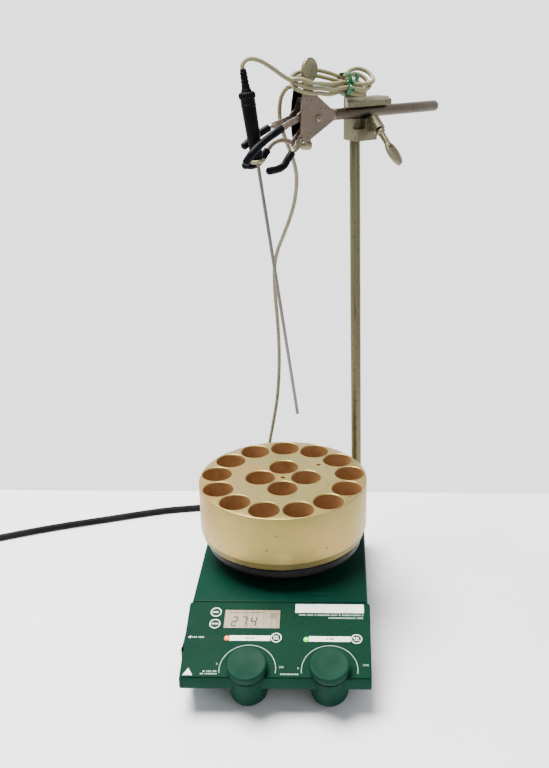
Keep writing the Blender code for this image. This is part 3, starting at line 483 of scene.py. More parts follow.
def ribbon(name, path, wide, thick, twist):
    """A flat strip along a path, turned along the way by twist(share) radians."""
    rings = []
    for i, (p, (a, b)) in enumerate(zip(path, carried_frames(path))):
        t = twist(i / (len(path) - 1))
        u = a * cos(t) + b * sin(t)
        v = b * cos(t) - a * sin(t)
        rings.append([p + u * x + v * y for x, y in ((-wide, -thick), (wide, -thick), (wide, thick),
                                                     (-wide, thick))])
    return skin(name, rings, 60)


def rounded(x, y, radius, steps=6):
    out = []
    for corner, (cx, cy) in enumerate([(x[1] - radius, y[1] - radius), (x[0] + radius, y[1] - radius),
                                       (x[0] + radius, y[0] + radius), (x[1] - radius, y[0] + radius)]):
        for i in range(steps + 1):
            turn = pi / 2 * (corner + i / steps)
            out.append((cx + radius * cos(turn), cy + radius * sin(turn)))
    return out


def joined(name, meshes, angle=35):
    """One mesh out of several, each kept as its own closed body."""
    work = bmesh.new()
    for mesh in meshes:
        work.from_mesh(mesh)
    out = bpy.data.meshes.new(name)
    work.to_mesh(out)
    work.free()
    smooth(out, angle)
    return out


def moved(mesh, at=(0, 0, 0), turn=(0, 0, 0)):
    mesh.transform(about(Matrix.Identity(4), at, turn))
    return mesh


def piece(name, mesh, where, body, paint, slot, *nodes):
    """A piece in its local frame, riding on a body and standing for CAD nodes. A list of meshes is joined."""
    if isinstance(mesh, list):
        mesh = joined(name, mesh)
    mesh.transform(where)
    made = placed(name, mesh)
    mesh.materials.append(PAINTS[paint].material)
    if body:
        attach(made, body)
    if nodes:
        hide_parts(*nodes)
    return made


def lathe(name, profile, sides, where, body, paint, slot, *nodes, **shape):
    return piece(name, turned(name, profile, sides, **shape), where, body, paint, slot, *nodes)


def bevel(target, width, segments=3, angle=30):
    made = target.modifiers.new("bevel", "BEVEL")
    made.width = width * MM
    made.segments = segments
    made.limit_method = "ANGLE"
    made.angle_limit = radians(angle)
    made.harden_normals = True
    return target


def refined(node, body, paint, slot, width=0.4, segments=3, angle=30):
    """A CAD node's own shape with soft edges."""
    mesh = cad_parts[node].data.copy()
    mesh.materials.clear()
    work = bmesh.new()
    work.from_mesh(mesh)
    bmesh.ops.remove_doubles(work, verts=work.verts, dist=1e-6)
    bmesh.ops.dissolve_limit(work, angle_limit=radians(0.5), verts=work.verts, edges=work.edges)
    work.to_mesh(mesh)
    work.free()
    smooth(mesh, 32)
    made = piece(f"{node}_body", mesh, Matrix.Identity(4), body, paint, slot, node)
    return bevel(made, width, segments, angle)


def repaint(paint, *nodes):
    for node in nodes:
        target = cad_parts[node]
        for holder in target.material_slots:
            holder.material = PAINTS[paint].material


def cut_out(target, cutters):
    """target's mesh with other meshes cut away, worked out once and kept as a plain mesh."""
    tool = placed("cutter", cutters)
    made = target.modifiers.new("cut", "BOOLEAN")
    made.operation = "DIFFERENCE"
    made.solver = "EXACT"
    made.object = tool
    solid = evaluated(target)
    target.modifiers.remove(made)
    bpy.data.objects.remove(tool)
    return solid


# ---------------------------------------------------------------- cords

CABLE_R = 1.8
MAINS_R = 3.5
CABLE_TOP = [(-26.5, 1.4, 494.6), (-27.1, 2, 503), (-27.1, 2, 506.8), (-27.2, 2.2, 508.6),
             (-24.6, 3.6, 512.4), (-19.4, 6, 513.4), (-12.4, 9.6, 511.2), (-4.6, 14.2, 506.2),
             (3.2, 19.7, 500.2), (7.6, 23.2, 497.2), (10.9, 25.9, 495.2)]
CABLE_DROP = [(6.7, 38.1, 489.2), (3.4, 39, 485.6), (0.4, 39.8, 478.6), (-0.6, 41, 466),
              (2, 43, 452), (6, 45.5, 440.5), (10.2, 48, 428), (12.6, 50.5, 416),
              (12.4, 53, 403), (10, 57, 388), (5.2, 62, 372), (-1, 67, 356),
              (-7, 72.5, 340), (-10.4, 78, 322), (-10.8, 85, 296), (-9.6, 92, 268),
              (-9, 99, 238), (-10, 106, 206), (-13, 113, 174), (-18, 121, 144),
              (-23.5, 131, 114), (-27.5, 141, 86), (-29.6, 150.5, 62), (-30, 156, 48),
              (-30, 154, 38.6), (-30, 147, 36), (-30, 136, 36)]
SPLIT = 8            # the drop's first points, down to here, hang from the clamp
MAINS = [(20, 122, 30), (20, 136, 30), (20, 145.7, 30), (19.8, 152.5, 28.9),
         (19, 160, 25.3), (17.3, 167.6, 19.9), (14.6, 175.2, 14), (10.6, 182.6, 8.9), (5, 189.4, 5.4),
         (-3, 194.9, 3.8), (-13, 198.2, 3.6), (-26, 199.2, 3.6), (-44, 197.6, 3.6), (-74, 193, 3.6),
         (-112.7, 185.9, 3.6), (-156.7, 177, 3.6), (-215.7, 157.3, 3.6), (-262, 141.5, 3.6),
         (-300, 126.5, 3.6), (-325, 115.4, 3.6), (-340, 108.2, 3.6), (-351, 102.8, 3.6)]
COIL_AT = (-391, 52)
COIL_R = 40.0


def cord(name, path, radius, body, paint, slot, nodes,
         blend=None):
    """A cord on the bench. blend is given as (body_a, body_b, start, end); when it is given, the cord rides on no
    body and its place is baked into its mesh, and the bodies and points in it are not used.
    """
    made = piece(name, tube(name, path, radius, 16), BENCH, None if blend else body, paint, slot, *nodes)
    if blend:
        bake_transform(made)
    return made


HANK = [  # three turns of the spare cable in the arm's frame, with heights above the table
    (-67.3, -1.3, 496.4), (-61, -6.6, 496.6),
    (-53, -10.2, 493.4), (-43, -9.8, 492.6), (-32, -8, 491.6), (-21, -5, 491.4), (-12, -3.4, 492),
    (-4, -4.6, 490.6), (4, -7.6, 489.8), (12.5, -9.4, 490.2), (19.6, -8.2, 492), (23.6, -3.2, 495.2),
    (21.6, 2.6, 499.6), (14.6, 6.6, 502), (5, 6.4, 500.6), (-3, 3.6, 497.2), (-10, 2.2, 496.2),
    (-20, 4.6, 499.4), (-31, 7.8, 502), (-42, 9.8, 502.2), (-52, 10.4, 500.6), (-60.5, 7.4, 498.2),
    (-64.6, 1.6, 495.6), (-62.6, -5, 492.4),
    (-55, -9.6, 489.6), (-44, -10.2, 488.8), (-34, -9.8, 487.4), (-26, -8.4, 486.4), (-17, -6.6, 487.4),
    (-9, -6.8, 487.8), (-2, -8.8, 486.4), (5, -9.9, 485.4), (12, -9.2, 486.2), (18, -6, 488.4),
    (20.4, -0.6, 491), (17.6, 3.8, 495.4), (11, 6, 497.6), (3, 4.8, 496.2), (-5, 1.6, 493.4),
    (-12, 0.6, 492.6), (-22, 2.8, 495), (-33, 5.8, 497.6), (-44, 8.4, 498.2), (-54, 9, 496.4),
    (-61.6, 5.4, 493), (-64, -0.4, 489.8), (-61.4, -6.4, 487.2),
    (-54, -10, 485.4), (-44, -9.6, 484.8), (-34, -8, 483.4), (-25, -5.4, 483.4), (-16, -3.2, 484.2),
    (-9, -2.4, 484), (-2, -4.4, 482.4), (4, -6.6, 481.4), (10, -6.6, 481.8), (14.6, -3.6, 484.2),
    (15.8, 0.6, 488), (12, 4.2, 491), (6, 4.4, 491.2), (0, 1.6, 489.4), (-8, -1.4, 488.2),
    (-16, 0.4, 488.6), (-26, 4.2, 490.4), (-36, 7.6, 491.6), (-46, 9.6, 491.4), (-55, 10, 490.2),
    (-62.2, 10.6, 489.2)]


def make_cords():
    barrel = [(0, -1.5), (5, -1.5), (5, 2.9), (6.6, 3.1), (6.8, 4), (6.8, 15.5), (6.3, 17), (4.6, 20), (3, 22),
              (2.6, 31.2), (1.8, 31.6), (0, 31.6)]
    probe_plug = lathe("probe_plug_body", barrel, 60, REAR_SOCKET, "base", "black", "black_plastic", "probe_plug",
                       ripple=lambda r, z, a: 0.03 * cos(20 * a) if 3.5 < z < 16 else 0)
    top = smooth_path(CABLE_TOP, 5)
    cord("probe_cable_upper", top, CABLE_R, None, "cable", "probe_cable", ["probe_cable_top"],
         blend=("clamp", "probe", CABLE_TOP[-2], CABLE_TOP[5]))
    drop = smooth_path(CABLE_DROP, 5)
    knee = (SPLIT - 1) * 5
    cord("probe_cable_neck", drop[:knee + 1], CABLE_R, None, "cable", "probe_cable", [],
         blend=("boss", "clamp", CABLE_DROP[SPLIT - 1], CABLE_DROP[1]))
    cord("probe_cable_lower", drop[knee:], CABLE_R, None, "cable", "probe_cable", ["probe_cable_drop"],
         ("base", "boss", CABLE_DROP[-4], CABLE_DROP[SPLIT]))

    to_bench = BENCH.inverted() @ ARM
    hank = [to_bench @ (p - Vector((0, 0, ARM_Z))) for p in smooth_path(HANK, 4)]
    cord("probe_cable_hank", hank, CABLE_R, "clamp", "cable", "probe_cable", ["cable_hank"])
    make_tie()

    plug_frame = about(BENCH, (COIL_AT[0] - 46, COIL_AT[1] + COIL_R + 2 * MAINS_R, 11.3), (0, 0, pi))
    plug = refined("mains_plug", "base", "black", "black_plastic", 0.5)
    grips = prisms([rounded((5 + 5 * i, 7.4 + 5 * i), (-17.4, 17.4), 1.1, 3) for i in range(4)], -8, 8)
    ribs = piece("mains_plug_grip", grips, plug_frame, "base", "black", "black_plastic")
    pin = [(0, 0), (2.08, 0), (2.08, 16.6), (1.5, 18.2), (0, 18.6)]
    pins = [moved(turned("pin", pin, 32), (44, y, 0), (0, pi / 2, 0)) for y in (-9.5, 9.5)]
    pins = piece("mains_plug_pins", pins, plug_frame, "base", "arm", "nickel")
    relief = [(0, -8), (6, -8), (6, 0.3), (9, 0.3), (9, 3.4), (8.4, 4.2), (7.2, 4.6)]
    for i in range(7):
        z = 6.2 + 4 * i
        r = 7.0 - 0.3 * i
        relief += [(r, z), (r, z + 2.1), (r - 1.3, z + 2.4), (r - 1.3, z + 3.7)]
    relief += [(4.8, 34.2), (4, 34.6), (0, 34.6)]
    gland = lathe("strain_relief", relief, 60, REAR_GLAND, "base", "rubber", "rubber", "cord_gland")

    route = list(MAINS) + [(-364, 99.4, 3.6), (-378, 99, 3.6)]
    pitch, steps, lower, upper = 2 * MAINS_R, 16, 3.7, 10.8
    inner, outer = COIL_R - pitch, COIL_R + pitch

    def ring(radius, share, z):
        a = radians(90) + tau * share
        return (COIL_AT[0] + radius * cos(a), COIL_AT[1] + radius * sin(a), z)
    route += [ring(outer - pitch * i / steps, i / steps, lower) for i in range(2 * steps + 1)]
    route += [ring(inner, i / steps, lower + (upper - lower) * (0.5 - 0.5 * cos(tau * i / steps)))
              for i in range(1, steps // 2 + 1)]
    route += [ring(inner + pitch * i / steps, 0.5 + i / steps, upper) for i in range(1, 2 * steps + 1)]
    route += [ring(outer, 0.5 + i / steps, upper) for i in range(1, steps // 2 + 1)]
    route += [(-405, 99, 11), (-420, 99, 11.3), (-436, 99, 11.3), (-440, 99, 11.3)]
    path = smooth_path(route, 4)
    cord("mains_lead", path, MAINS_R, "base", "cord", "rubber", ["mains_cord", "mains_coil"])


def make_tie():
    """The green twist tie: two turns round the folded cable and its crinkled ends."""
    middle = Vector((-9, -2.2, 490.2 - ARM_Z))
    rings = []
    for i in range(5, 47):
        out = Vector((0, -cos(tau * i / 20), sin(tau * i / 20)))
        along = Vector((1.5, 0, 0)) + out * 0.5 * sin(1.9 * i)
        spot = middle + Vector((-2.0 + 4.0 * i / 46, 7.7 * out.y, 9.4 * out.z))
        rings.append([spot - along - out * 0.3, spot + along - out * 0.3, spot + along + out * 0.3,
                      spot - along + out * 0.3])
    ends = [((-0.5, -8.4, 3), (-2.2, -10.6, 5.6), (-4.4, -10, 8.6), (-2.6, -8.8, 10.4), (-0.6, -9, 7.4)),
            ((0.5, -8.4, 2), (2.6, -11, 3), (4.4, -11.4, 5.8), (3.2, -10.4, 8.2), (1.6, -9.4, 5.6)),
            ((0, -8.4, 1), (-1.6, -11, -1.2), (-3.8, -11.6, -3.6), (-1.6, -11.2, -5.4), (1.2, -10.4, -3.4))]
    meshes = [skin("wrap", rings, 60)]
    for k, end in enumerate(ends):
        path = smooth_path([middle + Vector(p) for p in end], 6)
        meshes.append(ribbon(f"end_{k}", path, 1.8, 0.35, lambda t, k=k: 1.1 * sin(4 * t + k) + 0.7 * k))
    piece("cable_tie", joined("cable_tie", meshes, 60), ARM, "clamp", "tie", "vinyl")


# ---------------------------------------------------------------- base

def dashes(x0, x1, y, high, seed):
    """A row of short marks, standing for a line of small print."""
    rand = random.Random(seed)
    out, x = [], x0
    while x < x1:
        wide = rand.uniform(0.6, 1.5)
        out.append(rounded((x, min(x + wide, x1)), (y, y + high), 0.12, 2))
        x += wide + rand.uniform(0.35, 0.6)
        if rand.random() < 0.16:
            x += 0.9
    return out


def arc_outline(cx, cy, radius, wide, first, last, steps=48):
    def point(r, a):
        return (cx + r * cos(a), cy + r * sin(a))
    turns = [radians(first + (last - first) * i / steps) for i in range(steps + 1)]
    return [point(radius + wide, a) for a in turns] + [point(radius - wide, a) for a in reversed(turns)]


def border(x, y, wide, high, radius, steps):
    """Four bars round the inside of a rectangle: wide at its sides, high at its top and bottom."""
    return [rounded(u, v, radius, steps) for u, v in (
        (x, (y[1] - high, y[1])), (x, (y[0], y[0] + high)), ((x[0], x[0] + wide), y), ((x[1] - wide, x[1]), y))]


def number(word, size, at, low, high):
    """Digits as a thin raised print."""
    text = bpy.data.curves.new("digits", "FONT")
    text.body = word
    text.size = size
    text.align_x = "CENTER"
    text.extrude = (high - low) / 2
    holder = placed("digits", text)
    mesh = evaluated(holder)
    bpy.data.objects.remove(holder)
    return moved(mesh, (at[0], at[1], (low + high) / 2))


DIALS = (("temperature", -23.6), ("speed", 45))
DIAL_Y = 8
PRINT_LOW = -0.1         # print starts a little inside the film
SEGMENTS = {"0": "abcdef", "1": "bc", "2": "abged", "4": "fgbc", "7": "abc"}


def seven_segment(word, x, y, wide, high, pitch, thick, lean=0.12):
    """The lit bars of seven-segment digits, as outlines."""
    half = high / 2
    bars = {"a": ((0, high), (wide, high)), "b": ((wide, high), (wide, half)), "c": ((wide, half), (wide, 0)),
            "d": ((0, 0), (wide, 0)), "e": ((0, half), (0, 0)), "f": ((0, high), (0, half)),
            "g": ((0, half), (wide, half))}
    out = []
    for i, digit in enumerate(word):
        for name in SEGMENTS[digit]:
            a, b = (Vector(p) for p in bars[name])
            ahead = (b - a).normalized()
            side = Vector((-ahead.y, ahead.x)) * thick
            a, b = a + ahead * thick * 0.6, b - ahead * thick * 0.6
            corners = [a - ahead * 0.2, a + side, b + side, b + ahead * 0.2, b - side, a - side]
            out.append([(x + i * pitch + p.x + lean * p.y, y + p.y) for p in corners])
    return out


def make_base():
    refined("housing", "base", "green", "housing_green", 0.5)
    refined("console", "base", "lip", "housing_green", 0.5)
    refined("bottom_cover", "base", "black", "black_plastic", 0.3)
    refined("panel_overlay", "base", "film", "control_panel", 0.15, 2)
    repaint("board", "circuit_board")
    repaint("machine", "transformer", "motor_stator", "rotor_shaft", "drive_magnet", "heat_shield", "heater",
            "lcd_module")
    repaint("dark", "magnet_carrier", "temperature_potentiometer", "speed_potentiometer")
    for word, x, y, top in (("front_left", -62, -106, 11.7), ("front_right", 62, -106, 11.7),
                            ("rear_left", -62, 88, 11.9), ("rear_right", 62, 88, 11.9)):
        foot = [(0, 0.5), (5.5, 0.5), (6, 0), (8.3, 0), (8.9, 0.5), (9.1, 2), (8.6, 2.4), (8.6, 3), (9.4, 3.4),
                (9.7, 7), (10, top), (0, top)]
        lathe(f"foot_{word}_pad", foot, 64, about(BENCH, (x, y, 0)), "base", "rubber", "rubber", f"foot_{word}")
    for word, x in DIALS:
        pod = [(0, -30.6), (14.1, -30.6), (15.2, -30.3), (15.85, -29.5), (16.06, -28.2), (16.06, -5.6),
               (15.7, -5.2), (15.7, -4.6), (16.06, -4.2), (16.06, -0.9), (15.8, -0.4), (0, -0.4)]
        where = about(PANEL, (x, DIAL_Y, 0))
        lathe(f"{word}_pod", pod, 96, where, "base", "knob", "housing_green")
        knob = [(0, -11), (3, -11), (3, 1.3), (14.6, 1.3), (15.6, 1.5), (16.55, 2.1), (16.8, 3), (16.66, 8),
                (16.45, 8.8), (15.9, 9.35), (15.1, 9.55), (13.8, 9.5), (12.9, 9.3), (6, 9.15), (0, 9.1)]
        lathe(f"{word}_dial", knob, 128, where, f"{word}_dial", "knob", "knobs", f"{word}_knob", angle=50)

    marks = [rounded((-41.4, -6.4), (36, 41.3), 0.5, 3), rounded((26.8, 62.5), (35.6, 40.9), 0.5, 3),
             rounded((14.1, 74.4), (65.2, 74.4), 0.3, 2)]
    arrow = [(-76.9, 39.4), (-74.4, 40.7), (-74.4, 38.1)]
    triangle = [(-77, 2.2), (-68.8, 2.2), (-72.9, 9)]
    white = prisms(marks, PRINT_LOW, 0.08) + prisms([arrow, triangle], PRINT_LOW, 0.06)
    piece("panel_marks", white, PANEL, "base", "white", "control_panel")
    fine = prisms([arc_outline(x, DIAL_Y, 23.6, 0.27, -8, 188) for word, x in DIALS], PRINT_LOW, 0.06)
    rows = (dashes(-73.2, -63.2, 38.6, 1.5, 1) + dashes(-60.5, -48.6, 5.4, 1.3, 2)
            + dashes(-62.5, -48.6, 3, 1.3, 3) + dashes(4, 19.5, 3, 1.2, 4)
            + dashes(17.5, 73.8, 62.2, 1.4, 5) + dashes(43.5, 73.8, 59.2, 1.4, 6))
    fine += prisms(rows, PRINT_LOW, 0.05)
    for word, x, y in (("0", -49.6, 12.2), ("300", 4.6, 9.4), ("0", 18.6, 8.6), ("1200", 75, 12)):
        fine.append(number(word, 2.6, (x, y), PRINT_LOW, 0.05))
    piece("panel_fine_print", fine, PANEL, "base", "ink", "control_panel")
    dark = prisms(dashes(-27.5, -19.5, 37.8, 1.7, 7) + dashes(42.5, 48.5, 37.4, 1.7, 8), 0, 0.1)
    piece("panel_label_print", dark, PANEL, "base", "segment", "control_panel")

    for word, (x, y) in {"mode": (-55.3, 64.9), "set": (-55.2, 52.7), "heat": (-1.2, 38.9),
                         "stir": (67.7, 38.1)}.items():
        where = about(PANEL, (x, y, 0))
        cap = [(0, -11.2), (1.8, -11.2), (1.8, -3.4), (4.9, -3.4), (4.9, 0.15), (4.75, 0.4), (4.4, 0.5), (2, 0.62),
               (0, 0.64)]
        lathe(f"{word}_key", cap, 48, where, f"{word}_key", "key", "keys", f"{word}_button")
        two_lines = word in ("heat", "stir")
        lines = dashes(-2.6, 2.7, 0.3 if two_lines else -0.7, 1.4, 20 + len(word))
        if two_lines:
            lines += dashes(-2, 2.2, -1.8, 1.3, 30 + len(word))
        ring = [(3.95, 0.2), (4.75, 0.2), (4.75, 0.62), (3.95, 0.62)]
        glyph = [turned("ring", ring, 64, closed=True)] + prisms(lines, 0.3, 0.7)
        piece(f"{word}_key_mark", glyph, where, f"{word}_key", "white", "keys")
    for word, (x, y), colour, slot in (("heat_led", (-43.5, 38.5), "orange", "heat_light"),
                                       ("stir_led", (24.5, 37.7), "lime", "stir_light")):
        lens = [(0, -12), (2.3, -12), (2.3, -0.2), (2.15, 0.4), (1.6, 0.95), (0.9, 1.2), (0, 1.3)]
        lathe(f"{word}_lens", lens, 40, about(PANEL, (x, y, 0)), "base", colour, slot, word, angle=80)
    glass = prism("lcd_face", [(-47.6, 48.9), (0.9, 48.9), (0.9, 68.2), (-47.6, 68.2)], -3.9, -0.35)
    bevel(piece("lcd_face", glass, PANEL, "base", "lcd", "display", "lcd_window"), 0.15, 2)
    bars = seven_segment("274", -41, 51.4, 4.2, 9.2, 8.2, 0.5) + seven_segment("10", -9.4, 59.6, 2.2, 4.6, 4, 0.28)
    bars += [rounded((-27.2, -26.3), (51, 51.9), 0.3, 3)] + dashes(-43, -14, 65, 0.9, 12)
    piece("lcd_segments", prisms(bars, -0.4, -0.3), PANEL, "base", "segment", "display")
    rim = prisms(border((-48.4, 1.7), (48.2, 68.9), 0.8, 0.7, 0.25, 2), -0.3, 0.12)
    piece("lcd_rim", rim, PANEL, "base", "film", "control_panel")

    refined("power_rocker", "rocker", "black", "black_plastic", 0.5)
    bezel = prisms(border((-133.4, -108.6), (30, 46), 2.1, 2.1, 0.6, 3), -80.9, -79.6, "x")
    piece("switch_bezel", bezel, BENCH, "base", "black", "black_plastic")
    make_rear()


def make_rear():
    middles = [-71.7 + 5.2 * k for k in range(6)]
    # Black flat slots set on the rear face are painted shade: they stand for the dark inside seen through the vent
    # openings.
    slots = prisms([rounded((x - 1.3, x + 1.3), (21, 51), 1.2, 4) for x in middles], 110.9, 111.12, "y")
    piece("rear_vent_shade", slots, BENCH, "base", "rubber", "black_plastic")
    frames = [frame_mesh("vent", rounded((x - 1.9, x + 1.9), (20.4, 51.6), 1.8, 5),
                         rounded((x - 1.3, x + 1.3), (21, 51), 1.2, 5), 110.9, 111.7) for x in middles]
    piece("rear_vent_rims", frames, BENCH, "base", "green", "housing_green")
    piece("rating_plate", prism("rating_plate", rounded((38, 70), (21, 43), 1.5, 5), 110.9, 111.3, "y"), BENCH,
          "base", "machine", "machine_steel")
    screws = []
    spots = [((x, 111.2, z), -pi / 2, 1.5) for z in (40, 24) for x in (41, 67)]
    spots += [((x, y, 12.3), pi, 3) for y in (60, -60) for x in (-66, 66)]
    for spot, turn, size in spots:
        head = [(0, 0), (size, 0), (size, 0.4), (size * 0.75, 0.9), (size * 0.2, 1), (size * 0.2, 0.5), (0, 0.5)]
        screws.append(moved(turned("screw", head, 32), spot, (turn, 0, 0)))
    piece("cover_screws", screws, BENCH, "base", "machine", "machine_steel")
    socket = [(0, -12), (6.3, -12), (6.3, 0.3), (8.2, 0.3), (8.2, 1.9), (7.8, 2.4), (5.6, 2.4), (5.4, 2.1),
              (5.4, -2), (0, -2)]
    lathe("probe_socket_ring", socket, 60, REAR_SOCKET, "base", "nickel", "probe_steel", "probe_socket")


def frame_mesh(name, outer, inner, low, high):
    """A flat frame between two outlines of the same count, square to Y."""
    count = len(outer)
    points = [(x, y, z) for y in (low, high) for outline in (outer, inner) for x, z in outline]
    faces = []
    for i in range(count):
        j = (i + 1) % count
        a, b, c, d = 0, count, 2 * count, 3 * count
        faces += [(a + i, a + j, b + j, b + i), (c + i, c + j, d + j, d + i), (a + i, a + j, c + j, c + i),
                  (b + i, b + j, d + j, d + i)]
    return mesh_from(name, points, faces)


def make_plate_and_block():
    plate = [(0, 79.4), (45, 79.4), (45, 76), (70.2, 76), (72, 76.6), (72.9, 77.8), (73, 79), (73, 82.4),
             (72.7, 83.8), (71.9, 84.7), (70.6, 85), (0, 85)]
    lathe("plate", plate, 160, BENCH, "base", "plate", "plate_coating", "hot_plate")
    neck = [(51, 61.8), (51, 63), (50.2, 63.6), (50.2, 74), (51, 74.6), (51, 75.7), (47, 75.7), (47, 61.8)]
    lathe("neck", neck, 128, BENCH, "base", "rubber", "black_plastic", "plate_neck", closed=True)
    body = [(0, 85.3), (76.6, 85.3), (77.3, 86), (77.3, 91.6), (77.7, 92.1), (78.9, 92.3), (79.3, 92.8),
            (79.3, 137.8), (79, 138.5), (78.3, 138.8), (0, 138.8)]
    block = lathe("vial_block", body, 160, about(BENCH, (-1, 4, 0)), "block", "block", "block_anodised",
                  "reaction_block")
    cutters = []
    for count, ring in ((13, 63.6), (4, 21.6)):
        for i in range(count):
            turn = radians(91.7) + tau * i / count
            well = [(0, 94), (12.6, 94), (13.6, 94.4), (14, 95.4), (14, 138.05), (14.35, 138.55), (14.95, 138.95),
                    (15.1, 141), (0, 141)]
            cutters.append(moved(turned(f"well_{count}_{i}", well, 56), (
                -1 + ring * cos(turn), 4 + ring * sin(turn), 0)))
    for x, y, r, floor in ((-1, 4, 2.2, 112), (32, 31.3, 2, 100)):
        hole = [(0, floor), (r, floor), (r, 138.3), (r + 0.5, 138.9), (r + 0.6, 141), (0, 141)]
        cutters.append(moved(turned("hole", hole, 32), (x, y, 0)))
    cutters = joined("block_cutters", cutters)
    cutters.transform(BENCH)
    for paint in ("block", "well"):
        cutters.materials.append(PAINTS[paint].material)
    top = (BENCH @ Vector((0, 0, 138))).z
    for polygon in cutters.polygons:
        polygon.material_index = 1 if polygon.center.z < top else 0
    for paint in ("well", "block_foot"):
        block.data.materials.append(PAINTS[paint].material)
    # Faces below the step take the darker band colour, painted shade.
    step = (BENCH @ Vector((0, 0, 92.5))).z
    for polygon in block.data.polygons:
        polygon.material_index = 2 if polygon.center.z < step else 0
    block.data = cut_out(block, cutters)
    smooth(block.data, 32)


# ---------------------------------------------------------------- rod, boss head and clamp

def wing(name, across, along, centre, thick=1.9):
    """A flat oval thumb wing in the frame's XZ plane, with a raised rim round a shallow dish."""
    def ring(share, y):
        return [Vector((across * share * cos(a), y, centre + along * share * sin(a)))
                for a in (tau * i / 48 for i in range(48))]
    half = [(0.04, 0.66), (0.6, 0.68), (0.74, 0.78), (0.84, 0.97), (0.93, 1), (0.985, 0.8), (1, 0.45)]
    rings = [ring(s, -thick * t) for s, t in half] + [ring(s, thick * t) for s, t in reversed(half)]
    return skin(name, rings, 60)


def thread(radius, low, high, pitch=0.8, depth=0.28):
    out, z = [], low
    while z < high:
        out += [(radius, z), (radius - depth, min(z + pitch / 2, high))]
        z += pitch
    return out


def thumb_screw(name, where, tip, head, length, node):
    stem = [(0, tip), (2, tip)] + thread(2.4, tip + 0.4, head) + [
        (2.4, head), (3.3, head + 0.3), (4.3, head + 0.6), (4.4, head + 2.8), (3.6, head + 3.4), (2.9, head + 4.2),
        (2.7, length - 24), (2.5, length - 20), (0, length - 20)]
    meshes = [turned("stem", stem, 40), wing("wing", 5.6, 12.5, length - 12.5)]
    piece(f"{name}_screw", joined(name, meshes, 40), where, name, "nickel", "nickel", node)


def make_rod_and_boss():
    rod = [(0, -21.5), (4.4, -21.5), (5, -20.9), (5, 427.6), (4.7, 428.2), (4.1, 428.5), (0, 428.5)]
    lathe("rod", rod, 64, ROD, "base", "rod", "nickel", "support_rod")
    collar = [(5.3, 0.5), (7.4, 0.5), (7.6, 0.8), (7.6, 3), (7.1, 3.4), (7.1, 8.3), (6.6, 9.1), (5.3, 9.2)]
    lathe("rod_socket", collar, 6, ROD, "base", "nickel", "nickel", "rod_collar", closed=True, angle=20)
    refined("boss_head", "boss", "nickel", "nickel", 0.7, 3, 40)
    thumb_screw("arm_thumbscrew", ARM_SCREW, 5.3, 21.3, 60, "boss_arm_screw")
    thumb_screw("rod_thumbscrew", ROD_SCREW, 5.7, 19.3, 58, "boss_rod_screw")
    shaft = [(0, -21.5), (4.3, -21.5), (4.5, -21), (4.5, -19.8), (5, -19.4), (5, 109.4), (4.6, 110.5), (3.8, 111),
             (0, 111)]
    lathe("arm", shaft, 64, about(ARM, turn=(0, pi / 2, 0)), "clamp", "arm", "nickel", "clamp_arm")


FINGERS = {
    "upper_front": ("jaw_upper", 6, [
        (-62, -4.6, 0), (-73, -5.3, -3.2), (-82, -7.6, -6), (-90, -9.4, -8.6), (-100, -10, -12.8),
        (-110, -10, -18.5), (-117, -9.2, -24.5), (-120.5, -6.6, -30.5)]),
    "upper_rear": ("jaw_upper", 6, [
        (-62, 4.6, 0), (-73, 5.3, -3.2), (-82, 7.6, -6), (-90, 9.4, -9.6), (-100, 10.4, -14.6), (-109, 11, -20.5)]),
    "lower_front": ("jaw_lower", 3, [
        (-61.5, -3.25, -21.6), (-68, -4, -26), (-75, -4.8, -32), (-80, -5, -37.4), (-87, -5, -39.8),
        (-96, -5, -40.4)]),
    "lower_rear": ("jaw_lower", 11, [
        (-61.5, 3.25, -21.6), (-66, 5.5, -19.6), (-73, 8, -18.4), (-80, 9.2, -20.6), (-86, 9.4, -25.6),
        (-93, 9.4, -32.6), (-100, 9.6, -36.6), (-110, 9.6, -36)]),
}


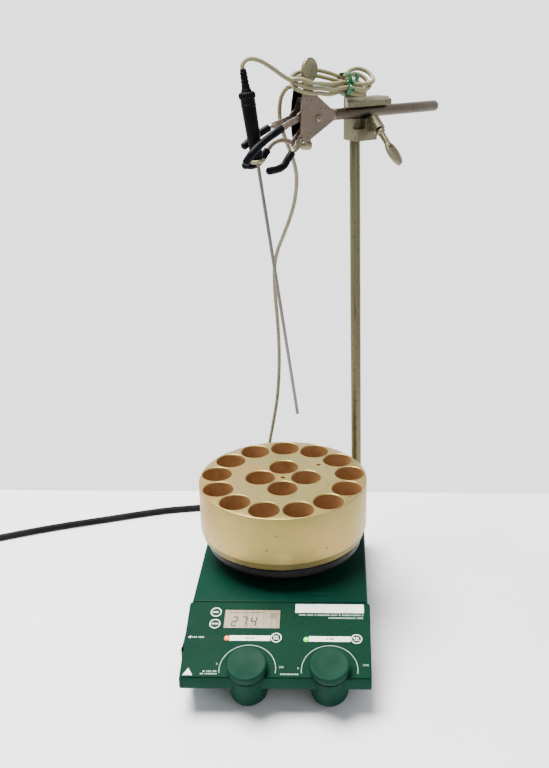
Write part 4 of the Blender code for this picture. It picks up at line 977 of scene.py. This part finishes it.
def make_clamp():
    cheeks = refined("clamp_cheeks", "clamp", "cheek", "nickel", 0.25, 2)
    # The rear cheek's inner faces left of the pivot are drawn black, with the black paint of the sleeves.
    cheeks.data.materials.append(PAINTS["vinyl"].material)
    to_arm = ARM.inverted()
    across = (ARM.to_3x3() @ Vector((0, 1, 0))).normalized()
    for polygon in cheeks.data.polygons:
        spot = to_arm @ polygon.center
        if spot.y > 5.5 and spot.x < -30 and polygon.normal.dot(across) < 0.5:
            polygon.material_index = 1
    rivet = [(0, -8.7), (1.6, -8.6), (2.6, -8.2), (3.2, -7.5), (2, -7.4), (2, 7.4), (3.2, 7.5), (2.6, 8.2),
             (1.6, 8.6), (0, 8.7)]
    lathe("rivet", rivet, 40, about(ARM, (-42.7, 0, -0.9), (pi / 2, 0, 0)), "clamp", "nickel", "nickel",
          "pivot_rivet", angle=60)
    refined("upper_jaw", "jaw_upper", "cheek", "nickel", 0.25, 2)
    refined("lower_jaw", "jaw_lower", "cheek", "nickel", 0.25, 2)
    screw = [(0, -24.5), (1.6, -24.5)] + thread(2, -24.1, 19.2) + [
        (2, 19.4), (4, 19.4), (4.4, 19.9), (4.4, 21.6), (4.1, 22.2), (3.8, 22.6), (3.8, 30.5), (3.2, 32), (0, 33)]
    meshes = [turned("stem", screw, 40), wing("wing", 8.2, 10, 38, 1.8)]
    piece("jaw_wing_screw", joined("jaw_wing_screw", meshes, 40), JAW_SCREW, "wing_screw", "nickel", "nickel",
          "jaw_screw")
    nut = [(2.3, -17.8), (3.8, -17.8), (4.3, -18.4), (4.4, -20.4), (5.2, -20.8), (5.7, -21.8), (5.8, -23.6),
           (5.3, -25.4), (4.4, -26.8), (3.4, -27.3), (2.3, -27.4)]
    lathe("jaw_screw_nut", nut, 48, JAW_SCREW, "wing_screw", "nickel", "nickel", "jaw_nut", closed=True, angle=50)
    for name, (body, bare, points) in FINGERS.items():
        path = smooth_path(points, 9)
        first = (bare + 1) * 3
        sleeve = path[first:]
        wobble = RANDOM.uniform(0, 6)
        size = [3.2 + 0.05 * sin(23 * i / len(sleeve) + wobble) for i in range(len(sleeve))]
        mesh = tube(name, sleeve, lambda t, size=size: size[min(int(t * len(size)), len(size) - 1)], 28, 2.5)
        piece(f"{name}_grip", mesh, ARM, body, "vinyl", "vinyl", f"{name}_sleeve")
        if name == "lower_rear":
            bare_rod = tube("lower_rear_rod", path[4:first + 3], 2, 24)
            piece("lower_rear_rod", bare_rod, ARM, body, "cheek", "nickel")


def make_probe():
    shaft = [(0, 0), (0.8, 0.15), (1.3, 0.7), (1.5, 1.6), (1.5, 238)]
    lathe("probe_needle", shaft, 32, PROBE, "probe", "steel", "probe_steel", "probe_shaft", angle=60)
    low, top = 229, 286.0
    ferrule = [(1.8, low - 0.6), (4.4, low - 0.6), (5.8, low - 0.1), (6.5, low + 0.7), (6.6, low + 1.6),
               (6.3, low + 2.3), (5, low + 2.7), (1.8, low + 2.7)]
    lathe("probe_ferrule", ferrule, 64, PROBE, "probe", "nickel", "probe_steel", closed=True, angle=50)
    grip = [(0, low + 2.5), (4.6, low + 2.5), (4.6, low + 4.3), (5, low + 4.8), (5.1, low + 5.4),
            (5.55, low + 20), (6, top - 12), (6, top - 11.4), (6.3, top - 11), (6.3, top - 10.3),
            (6, top - 9.9), (6, top - 5.6), (6.5, top - 5), (6.7, top - 4.4), (6.7, top - 1.7),
            (6.4, top - 1.2), (5.6, top - 0.3), (3.6, top + 0.2), (0, top + 0.2)]

    def ribs(radius, height, turn):
        return 0.035 * cos(22 * turn) if top - 5.2 < height < top - 1 else 0
    lathe("probe_grip", grip, 132, PROBE, "probe", "black", "black_plastic", "probe_handle", ripple=ribs)
    low = top + 0.2
    boot = [(0, low), (4.2, low), (4.4, low + 0.6), (4, low + 1.4), (3.5, low + 2.2)]
    for i in range(4):
        z, r = low + 3.2 + 3.2 * i, 3.35 - 0.13 * i
        boot += [(r, z), (r, z + 1.9), (r - 0.4, z + 2.2), (r - 0.4, z + 2.9)]
    boot += [(2.7, low + 16.3), (2.3, low + 17.2), (0, low + 17.3)]
    lathe("probe_boot_relief", boot, 48, PROBE, "probe", "black", "black_plastic", "probe_boot")


PAINTS = make_paints()
make_camera()
make_cords()
make_light()
make_floor()
make_base()
make_plate_and_block()
make_rod_and_boss()
make_clamp()
make_probe()
